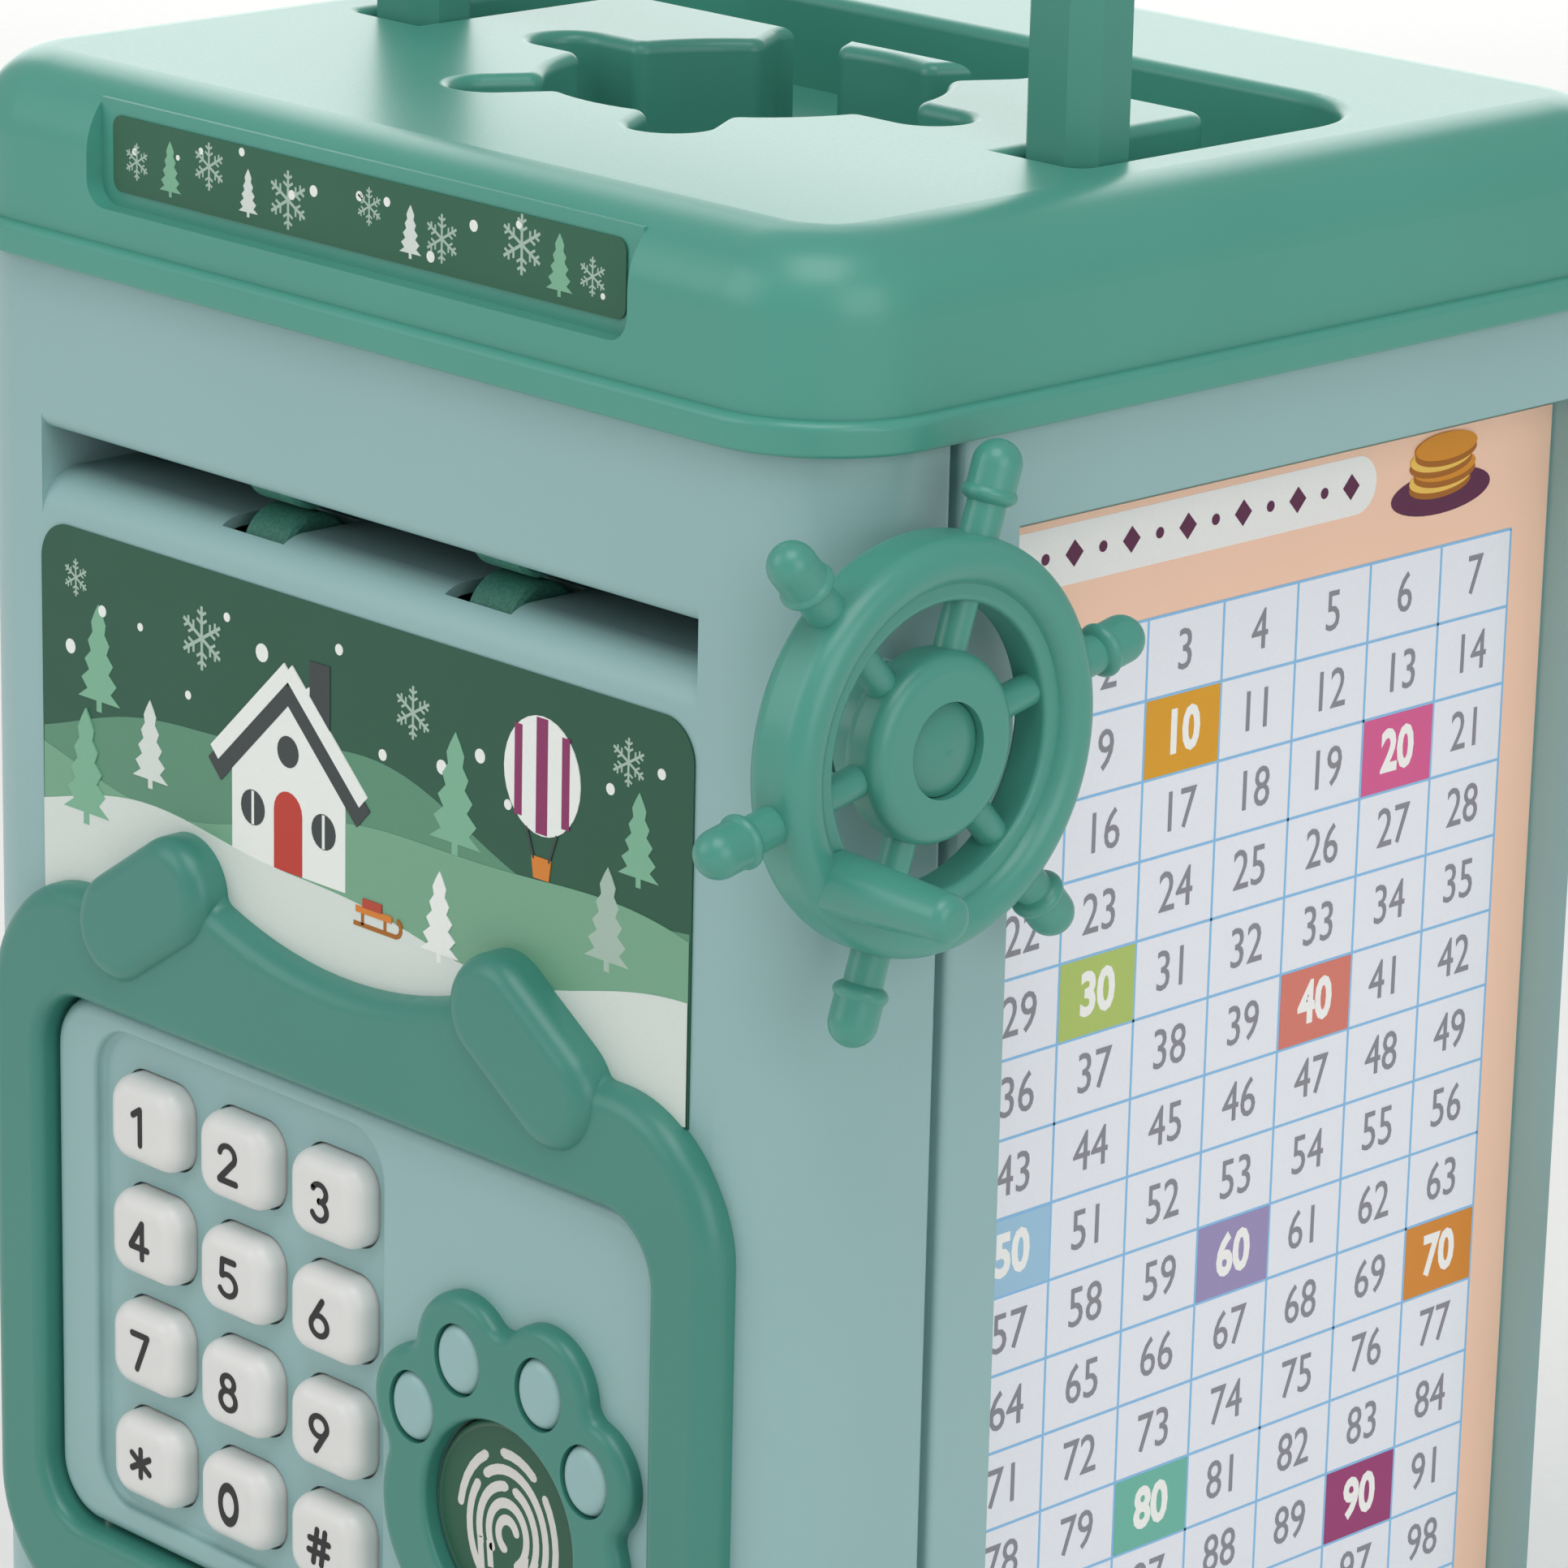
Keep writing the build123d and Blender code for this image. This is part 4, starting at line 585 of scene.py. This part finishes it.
def cottage(bm, foot, width, level):
    """A snowed-in cottage with a red door, dark windows and a chimney."""
    u, v = foot
    half = width / 2
    wall_height = width * 0.46
    ridge = width * 0.98
    chimney_top = v + ridge * 1.06
    chimney = [
        (u + half * 0.3, v + wall_height),
        (u + half * 0.3, chimney_top),
        (u + half * 0.58, chimney_top),
        (u + half * 0.58, v + wall_height),
    ]
    ink_shape(bm, chimney, ROOF_GREY, level)
    gable = [
        (u - half * 0.8, v),
        (u + half * 0.8, v),
        (u + half * 0.8, v + wall_height),
        (u, v + ridge * 0.86),
        (u - half * 0.8, v + wall_height),
    ]
    ink_shape(bm, gable, PALE_SNOW, level + 1)
    for side in (-1, 1):
        eave = (u + side * half * 1.05, v + wall_height * 0.82)
        snow_edge = (eave[0], eave[1] + width * 0.08)
        ink_stroke(bm, (u, v + ridge * 0.9), eave, width * 0.13, ROOF_GREY, level + 2)
        ink_stroke(bm, (u, v + ridge * 0.98), snow_edge, width * 0.08, PALE_SNOW, level + 3)
        window = (u + side * half * 0.5, v + wall_height * 0.55)
        bar_foot = (window[0], window[1] - width * 0.08)
        bar_top = (window[0], window[1] + width * 0.08)
        ink_disc(bm, window, width * 0.085, ROOF_GREY, level + 2)
        ink_stroke(bm, bar_foot, bar_top, width * 0.018, PALE_SNOW, level + 3)
    ink_disc(bm, (u, v + wall_height * 1.25), width * 0.075, ROOF_GREY, level + 2)
    door_half = width * 0.1
    door_top = v + wall_height * 0.62
    ink_shape(bm, rectangle(u - door_half, v, u + door_half, door_top), DOOR_RED, level + 2)
    ink_disc(bm, (u, door_top), door_half, DOOR_RED, level + 2)


def balloon(bm, centre, radius, level):
    """A striped hot-air balloon with a wicker basket."""
    u, v = centre
    height = radius * 1.1
    ink_disc(bm, centre, radius, PALE_SNOW, level, squash=1.1, segments=32)
    for share, width in ((-0.62, 0.2), (0.0, 0.3), (0.62, 0.2)):
        stripe = u + share * radius
        reach = height * math.sqrt(1 - share * share) * 0.97
        ink_stroke(bm, (stripe, v - reach), (stripe, v + reach), radius * width, STRIPE_MAGENTA, level + 1)
    for side in (-1, 1):
        rope_top = (u + side * radius * 0.4, v - radius)
        rope_foot = (u + side * radius * 0.2, v - radius * 1.55)
        ink_stroke(bm, rope_top, rope_foot, radius * 0.05, ROOF_GREY, level + 1)
    basket = [
        (u - radius * 0.26, v - radius * 1.5),
        (u + radius * 0.26, v - radius * 1.5),
        (u + radius * 0.2, v - radius * 1.9),
        (u - radius * 0.2, v - radius * 1.9),
    ]
    ink_shape(bm, basket, BASKET_ORANGE, level + 1)


def sledge(bm, foot, width, level):
    """A wooden sledge with a folded blanket."""
    u, v = foot
    runner = width * 0.07
    ink_stroke(bm, (u - width / 2, v), (u + width * 0.42, v), runner, DARK_AMBER, level)
    ink_arc(bm, (u + width * 0.42, v + width * 0.13), width * 0.13, runner, -90, 60, DARK_AMBER, level)
    for share in (-0.3, 0.2):
        post = u + share * width
        ink_stroke(bm, (post, v), (post, v + width * 0.2), width * 0.06, DARK_AMBER, level)
    seat_v = v + width * 0.23
    blanket_v = v + width * 0.34
    ink_stroke(
        bm, (u - width * 0.45, seat_v), (u + width * 0.35, seat_v), width * 0.1, BASKET_ORANGE, level + 1
    )
    ink_stroke(
        bm, (u - width * 0.3, blanket_v), (u + width * 0.12, blanket_v), width * 0.14, BLANKET_RED, level + 1
    )


def scattered_dots(bm, count, edges, heights, radii, level, seed):
    """Falling snow: dots between two edges, two heights and two radii, kept apart by a jittered row."""
    left, right = edges
    low, high = heights
    small, large = radii
    chance = random.Random(seed)
    for index in range(count):
        u = left + (right - left) * (index + 0.2 + 0.6 * chance.random()) / count
        v = low + (high - low) * chance.random()
        ink_disc(bm, (u, v), small + (large - small) * chance.random(), PALE_SNOW, level, segments=14)


# ---- front picture and lid strip ----
PICTURE_EDGE = 0.2       # the film's rim stays free of ink


def front_print():
    """Winter landscape below the note slot; heights are counted down from the sheet's top."""
    low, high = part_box("front_picture")
    left = low[0] / MM + PICTURE_EDGE
    right = high[0] / MM - PICTURE_EDGE
    top = high[2] / MM
    foot = low[2] / MM + PICTURE_EDGE
    bm = new_print()
    hill(bm, left, right, foot, top - 17.5, ((3.6, 15, 1.9), (1.2, 6.5, 0.6)), FAR_HILL_GREEN, 0)
    conifer(bm, (-38, top - 18), 11, TREE_GREEN, 1)
    conifer(bm, (15, top - 20), 12, TREE_GREEN, 1)
    conifer(bm, (40, top - 17), 9, TREE_GREEN, 1)
    hill(bm, left, right, foot, top - 22.0, ((3.2, 17, 0.2), (1.0, 7.5, 2.0)), HILL_GREEN, 2)
    conifer(bm, (-30, top - 24), 9, SNOW, 3)
    conifer(bm, (36, top - 26), 10, FROST, 3)
    cottage(bm, (-9, top - 27.5), 21, 3)
    hill(bm, left, right, foot, top - 28.0, ((2.0, 13, 3.4), (0.7, 6, 0.9)), SNOW, 7)
    conifer(bm, (13, top - 31), 9, PALE_SNOW, 8)
    conifer(bm, (-40, top - 30), 12, TREE_GREEN, 8)
    sledge(bm, (4, top - 30.0), 6.5, 9)
    balloon(bm, (27, top - 9.5), 5.2, 3)
    flakes = (((-22, top - 7), 3.2), ((-41.5, top - 5), 1.9), ((9, top - 7.5), 2.6), ((38.5, top - 5.5), 2.3))
    for centre, radius in flakes:
        snowflake(bm, centre, radius, FROST, 1)
    scattered_dots(bm, 15, (left + 2, right - 2), (top - 14, top - 2), (0.4, 0.95), 1, seed=7)
    finish_print(bm, "front_landscape_print", "case", facing_front((0, low[1], 0)))


def lid_print():
    """Row of crystals, snow and trees on the lid's strip, with no lettering."""
    low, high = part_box("lid_label")
    left = low[0] / MM
    right = high[0] / MM
    length = right - left
    foot = low[2] / MM
    middle = (low[2] + high[2]) / 2 / MM
    bm = new_print()
    for index, share in enumerate((0.05, 0.2, 0.36, 0.52, 0.66, 0.81, 0.94)):
        rise = 0.9 if index % 2 else -0.4
        snowflake(bm, (left + length * share, middle + rise), 1.8 + 0.5 * (index % 3), FROST, 0)
    trees = ((0.12, 5.4, TREE_GREEN), (0.28, 4.6, SNOW), (0.6, 5.0, SNOW), (0.88, 5.8, TREE_GREEN))
    for share, height, colour in trees:
        conifer(bm, (left + length * share, foot + 0.7), height, colour, 1)
    scattered_dots(
        bm, 13, (left + 1.5, right - 1.5), (foot + 1.2, foot + 6.8), (0.25, 0.6), 0, seed=3
    )
    finish_print(bm, "lid_strip_print", "case", facing_front((0, low[1], 0)))


# ---- savings chart ----
CHART_COLUMNS = 7
CHART_ROWS = 15
CHART_NUMBERS = 100
CELL_WIDTH = 10.5
CELL_HEIGHT = 7.9
CELL_MARGIN = 0.12
GRID_LEFT = 4.2          # sheet edge to the grid
GRID_BOTTOM = 4.6
GRID_LINE = 0.28
GRID_RIGHT = GRID_LEFT + CHART_COLUMNS * CELL_WIDTH
GRID_TOP = GRID_BOTTOM + CHART_ROWS * CELL_HEIGHT
HEADING_LEFT = 6.0       # middles of the heading's round ends
HEADING_RIGHT = 54.0
HEADING_HALF = 2.9
HEADING_RISE = 8.2       # above the grid
HEADING_MARKS = 13
MARK_PITCH = 3.85
LOZENGE_HALF = (1.2, 1.3)
COIN_RADIUS = 4.6
COIN_THICKNESS = 1.05
COIN_SQUASH = 0.3        # a disc seen from the side


def chart_grid(bm):
    """White field with its blue lines."""
    ink_shape(bm, rectangle(GRID_LEFT, GRID_BOTTOM, GRID_RIGHT, GRID_TOP), CHART_WHITE, 0)
    for column in range(CHART_COLUMNS + 1):
        u = GRID_LEFT + column * CELL_WIDTH
        ink_stroke(bm, (u, GRID_BOTTOM), (u, GRID_TOP), GRID_LINE, GRID_BLUE, 1)
    for row in range(CHART_ROWS + 1):
        v = GRID_BOTTOM + row * CELL_HEIGHT
        ink_stroke(bm, (GRID_LEFT, v), (GRID_RIGHT, v), GRID_LINE, GRID_BLUE, 1)


def chart_numbers(bm):
    """The numbers row by row, with every ten on a coloured cell."""
    for number in range(1, CHART_NUMBERS + 1):
        row, column = divmod(number - 1, CHART_COLUMNS)
        u = GRID_LEFT + (column + 0.5) * CELL_WIDTH
        v = GRID_TOP - (row + 0.5) * CELL_HEIGHT
        if number in TENS:
            half_u = CELL_WIDTH / 2 - CELL_MARGIN
            half_v = CELL_HEIGHT / 2 - CELL_MARGIN
            ink_shape(bm, rectangle(u - half_u, v - half_v, u + half_u, v + half_v), TENS[number], 2)
            ink_text(bm, str(number), 4.3, (u, v), TENS_WHITE, 3, weight=0.22, narrow=0.82)
        else:
            ink_text(bm, str(number), 4.2, (u, v), NUMBER_GREY, 2, narrow=0.86)


def chart_heading(bm):
    """White band with round ends and a row of dots and lozenges, with no lettering."""
    middle = GRID_TOP + HEADING_RISE
    outline = [
        (
            u + HEADING_HALF * math.cos(math.radians(start + ARC_STEP * step)),
            middle + HEADING_HALF * math.sin(math.radians(start + ARC_STEP * step)),
        )
        for u, start in ((HEADING_RIGHT, -90), (HEADING_LEFT, 90))
        for step in range(180 // ARC_STEP + 1)
    ]
    ink_shape(bm, outline, HEADING_WHITE, 0)
    half_u, half_v = LOZENGE_HALF
    for index in range(HEADING_MARKS):
        u = HEADING_LEFT + 1 + index * MARK_PITCH
        if index % 2:
            ink_disc(bm, (u, middle), 0.55, BURGUNDY, 1)
        else:
            lozenge = [(u - half_u, middle), (u, middle - half_v), (u + half_u, middle), (u, middle + half_v)]
            ink_shape(bm, lozenge, BURGUNDY, 1)


def coin_stack(bm, width):
    """Four coins on a dark oval at the heading's end."""
    foot = (width - 16.5, GRID_TOP + 5.6)
    ink_disc(bm, foot, 7.4, BURGUNDY, 0, squash=COIN_SQUASH, segments=36)
    for coin in range(4):
        shift = 0.35 if coin % 2 else -0.25
        face = AMBER if coin % 2 else PALE_AMBER
        centre = (foot[0] + shift, foot[1] + 0.8 + coin * COIN_THICKNESS)
        top = (centre[0], centre[1] + 0.6)
        ink_disc(bm, centre, COIN_RADIUS, DARK_AMBER, 1 + 2 * coin, squash=COIN_SQUASH, segments=32)
        ink_disc(bm, top, COIN_RADIUS, face, 2 + 2 * coin, squash=COIN_SQUASH, segments=32)


def chart_print():
    """Numbered savings grid with a blank heading and a stack of coins."""
    low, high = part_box("chart_right")
    bm = new_print()
    chart_grid(bm)
    chart_numbers(bm)
    chart_heading(bm)
    coin_stack(bm, (high[1] - low[1]) / MM)
    return bm


def place_charts():
    """The same chart on both sides, each read from its own left."""
    bm = chart_print()
    right_low, right_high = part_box("chart_right")
    left_low, left_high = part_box("chart_left")
    on_right = sheet_plane((0, 1, 0), (1, 0, 0), (right_high[0], right_low[1], right_low[2]))
    on_left = sheet_plane((0, -1, 0), (-1, 0, 0), (left_low[0], left_high[1], left_low[2]))
    finish_print(bm, "chart_right_print", "case", on_right, keep=True)
    finish_print(bm, "chart_left_print", "case", on_left)


# ---- legends and fingerprint ----
# Every figure is drawn in a box one unit high with its middle at (0, 0), by strokes of one width:
# a line is (start, end), and an arc is (centre, radius, first angle, last angle, stretch upwards).
FIGURES = {
    "0": [((0, 0), 0.27, 0, 360, 1.7)],
    "1": [((0.06, -0.46), (0.06, 0.46)), ((0.06, 0.46), (-0.18, 0.28))],
    "2": [((0, 0.21), 0.25, -35, 170, 1.0), ((0.2, 0.07), (-0.26, -0.44)), ((-0.26, -0.46), (0.28, -0.46))],
    "3": [((0, 0.23), 0.22, -90, 155, 1.0), ((0, -0.22), 0.24, -155, 90, 1.0)],
    "4": [((0.1, -0.46), (0.1, 0.46)), ((0.1, 0.46), (-0.28, -0.18)), ((-0.28, -0.2), (0.28, -0.2))],
    "5": [((0.22, 0.46), (-0.18, 0.46)), ((-0.18, 0.46), (-0.2, 0.06)),
          ((-0.01, -0.17), 0.28, -150, 125, 1.0)],
    "6": [((0, -0.19), 0.26, 0, 360, 1.0), ((-0.24, -0.1), (0.1, 0.46))],
    "7": [((-0.26, 0.46), (0.26, 0.46)), ((0.26, 0.46), (-0.1, -0.46))],
    "8": [((0, 0.24), 0.2, 0, 360, 1.0), ((0, -0.21), 0.25, 0, 360, 1.0)],
    "9": [((0, 0.19), 0.26, 0, 360, 1.0), ((0.24, 0.1), (-0.1, -0.46))],
    "star": [((0, -0.36), (0, 0.36)), ((-0.3, -0.2), (0.3, 0.2)), ((-0.3, 0.2), (0.3, -0.2))],
    "hash": [((-0.18, -0.44), (-0.06, 0.44)), ((0.08, -0.44), (0.2, 0.44)), ((-0.3, 0.16), (0.32, 0.16)),
             ((-0.33, -0.16), (0.29, -0.16))],
}
LEGEND_HEIGHT = 4.0
LEGEND_WIDEN = 1.15
LEGEND_LINE = 0.68


def legend_place(point):
    """A point of the one-unit box in millimetres on the key."""
    return point[0] * LEGEND_HEIGHT * LEGEND_WIDEN, point[1] * LEGEND_HEIGHT


def ink_figure(bm, strokes, colour):
    """One figure in strokes with round ends."""
    for stroke in strokes:
        if len(stroke) == 2:
            start, end = legend_place(stroke[0]), legend_place(stroke[1])
            ink_stroke(bm, start, end, LEGEND_LINE, colour, 1)
            for tip in (start, end):
                ink_disc(bm, tip, LEGEND_LINE / 2, colour, 1, segments=12)
        else:
            centre, share, first, last, stretch = stroke
            radius = share * LEGEND_HEIGHT * LEGEND_WIDEN
            upwards = stretch / LEGEND_WIDEN
            ink_arc(bm, legend_place(centre), radius, LEGEND_LINE, first, last, colour, 1, stretch=upwards)


def key_legends():
    """One black figure printed on each key."""
    for name, strokes in FIGURES.items():
        bm = new_print()
        ink_figure(bm, strokes, LEGEND_BLACK)
        plane = facing_front(box_middle("key_" + name))
        finish_print(bm, "legend_" + name, "key_" + name + "_body", plane)


PRINT_RADIUS = 9.5
PRINT_MIDDLE = (0, -1.2)
PRINT_STRETCH = 1.22
RIDGE_WIDTH = 0.86
RIDGES = (               # radius, first angle, last angle
    (1.5, 20, 250),
    (3.1, -60, 215),
    (4.7, -70, 75),
    (4.7, 95, 200),
    (6.3, -40, 125),
    (6.3, 142, 225),
    (7.9, -25, 40),
    (7.9, 58, 96),
    (7.9, 118, 170),
)
RIDGE_FEET = ((-3.9, -6.6), (-2.6, -5.2), (2.6, -6.0), (4.0, -5.0))    # across and lowest point
RIDGE_FOOT_TOP = -2.6


def fingerprint():
    """Plain arch-and-loop fingerprint printed on the round button."""
    bm = new_print()
    ink_disc(bm, (0, 0), PRINT_RADIUS, BUTTON_GREEN, 0, segments=64)
    for radius, start, end in RIDGES:
        ink_arc(
            bm, PRINT_MIDDLE, radius * 0.86, RIDGE_WIDTH, start, end, RIDGE_WHITE, 1, stretch=PRINT_STRETCH
        )
    for u, reach in RIDGE_FEET:
        ink_stroke(bm, (u, RIDGE_FOOT_TOP), (u * 0.9, reach), 0.8, RIDGE_WHITE, 1)
    plane = facing_front(box_middle("scanner_button"))
    finish_print(bm, "fingerprint_print", "scanner", plane)


front_print()
lid_print()
place_charts()
key_legends()
fingerprint()


# ---- floor, light and camera ----
FLOOR_HALF = 4.0
SKY_STRENGTH = 0.42
SOFTBOXES = (            # name, place, aim, edge in metres, watts
    ("softbox_left", (-0.7, -1.2, 0.75), (0, 0, 0.11), 0.9, 4.2),
    ("softbox_right", (1.3, -0.3, 0.6), (0, 0, 0.11), 0.9, 4.5),
    ("softbox_back", (-1.25, 1.2, 0.75), (0, 0, 0.2), 1.6, 17),
    ("softbox_top", (0.35, -0.45, 1.3), (0, 0, 0.18), 0.8, 6),
)
CAMERA_PLACE = (0.4450, -0.4369, 0.3017)
CAMERA_RIGHT = (0.6958, 0.7178, 0.0217)
CAMERA_BACK = (0.6825, -0.6704, 0.2911)
FOCAL_LENGTH_MM = 148.35
SENSOR_WIDTH_MM = 36.0


def pale_floor():
    """Matt white studio paper under the money box."""
    material = new_material("Matt studio paper")
    # nearly even white with a faint clouding, and no shine
    place = add(material, "ShaderNodeTexCoord").outputs["Object"]
    fibre = add(
        material, "ShaderNodeTexNoise", {"Vector": place, "Scale": 1 / (PAPER_FIBRE_MM * MM), "Detail": 2.0}
    )
    tone = add(
        material,
        "ShaderNodeMix",
        {"Factor": fibre.outputs["Fac"], "A": linear("F4F4F2"), "B": linear("EFEFED")},
        data_type="RGBA",
    )
    shader = add(
        material, "ShaderNodeBsdfPrincipled", {"Base Color": tone.outputs["Result"], "Roughness": 0.9}
    )
    close_material(material, shader)
    bm = bmesh.new()
    bmesh.ops.create_grid(bm, x_segments=1, y_segments=1, size=FLOOR_HALF)
    mesh = bpy.data.meshes.new("studio_floor")
    bm.to_mesh(mesh)
    bm.free()
    mesh.materials.append(material)
    floor = bpy.data.objects.new("studio_floor", mesh)
    scene.collection.objects.link(floor)


def area_light(name, place, aim, size, watts):
    """A square softbox that faces a point."""
    light = bpy.data.lights.new(name, "AREA")
    light.size = size
    light.energy = watts
    lamp = bpy.data.objects.new(name, light)
    lamp.location = place
    lamp.rotation_euler = (Vector(aim) - Vector(place)).to_track_quat("-Z", "Y").to_euler()
    scene.collection.objects.link(lamp)


def studio():
    """Even white surroundings, weak softboxes at the front, right and top, and a large one behind."""
    world = bpy.data.worlds.new("White studio")
    world.use_nodes = True
    background = world.node_tree.nodes["Background"]
    background.inputs["Color"].default_value = (1.0, 1.0, 1.0, 1.0)
    background.inputs["Strength"].default_value = SKY_STRENGTH
    scene.world = world
    for softbox in SOFTBOXES:
        area_light(*softbox)


def camera():
    """Looks down on the corner between the front and the crank side."""
    right = Vector(CAMERA_RIGHT)
    back = Vector(CAMERA_BACK)
    up = back.cross(right).normalized()
    right = up.cross(back).normalized()
    back.normalize()
    turn = Matrix((right, up, back)).transposed().to_4x4()
    lens = bpy.data.cameras.new("camera")
    lens.lens = FOCAL_LENGTH_MM
    lens.sensor_width = SENSOR_WIDTH_MM
    lens.clip_start = 0.05
    view = bpy.data.objects.new("camera", lens)
    view.matrix_world = Matrix.Translation(CAMERA_PLACE) @ turn
    scene.collection.objects.link(view)
    scene.camera = view


pale_floor()
studio()
camera()
scene.view_settings.view_transform = "Standard"
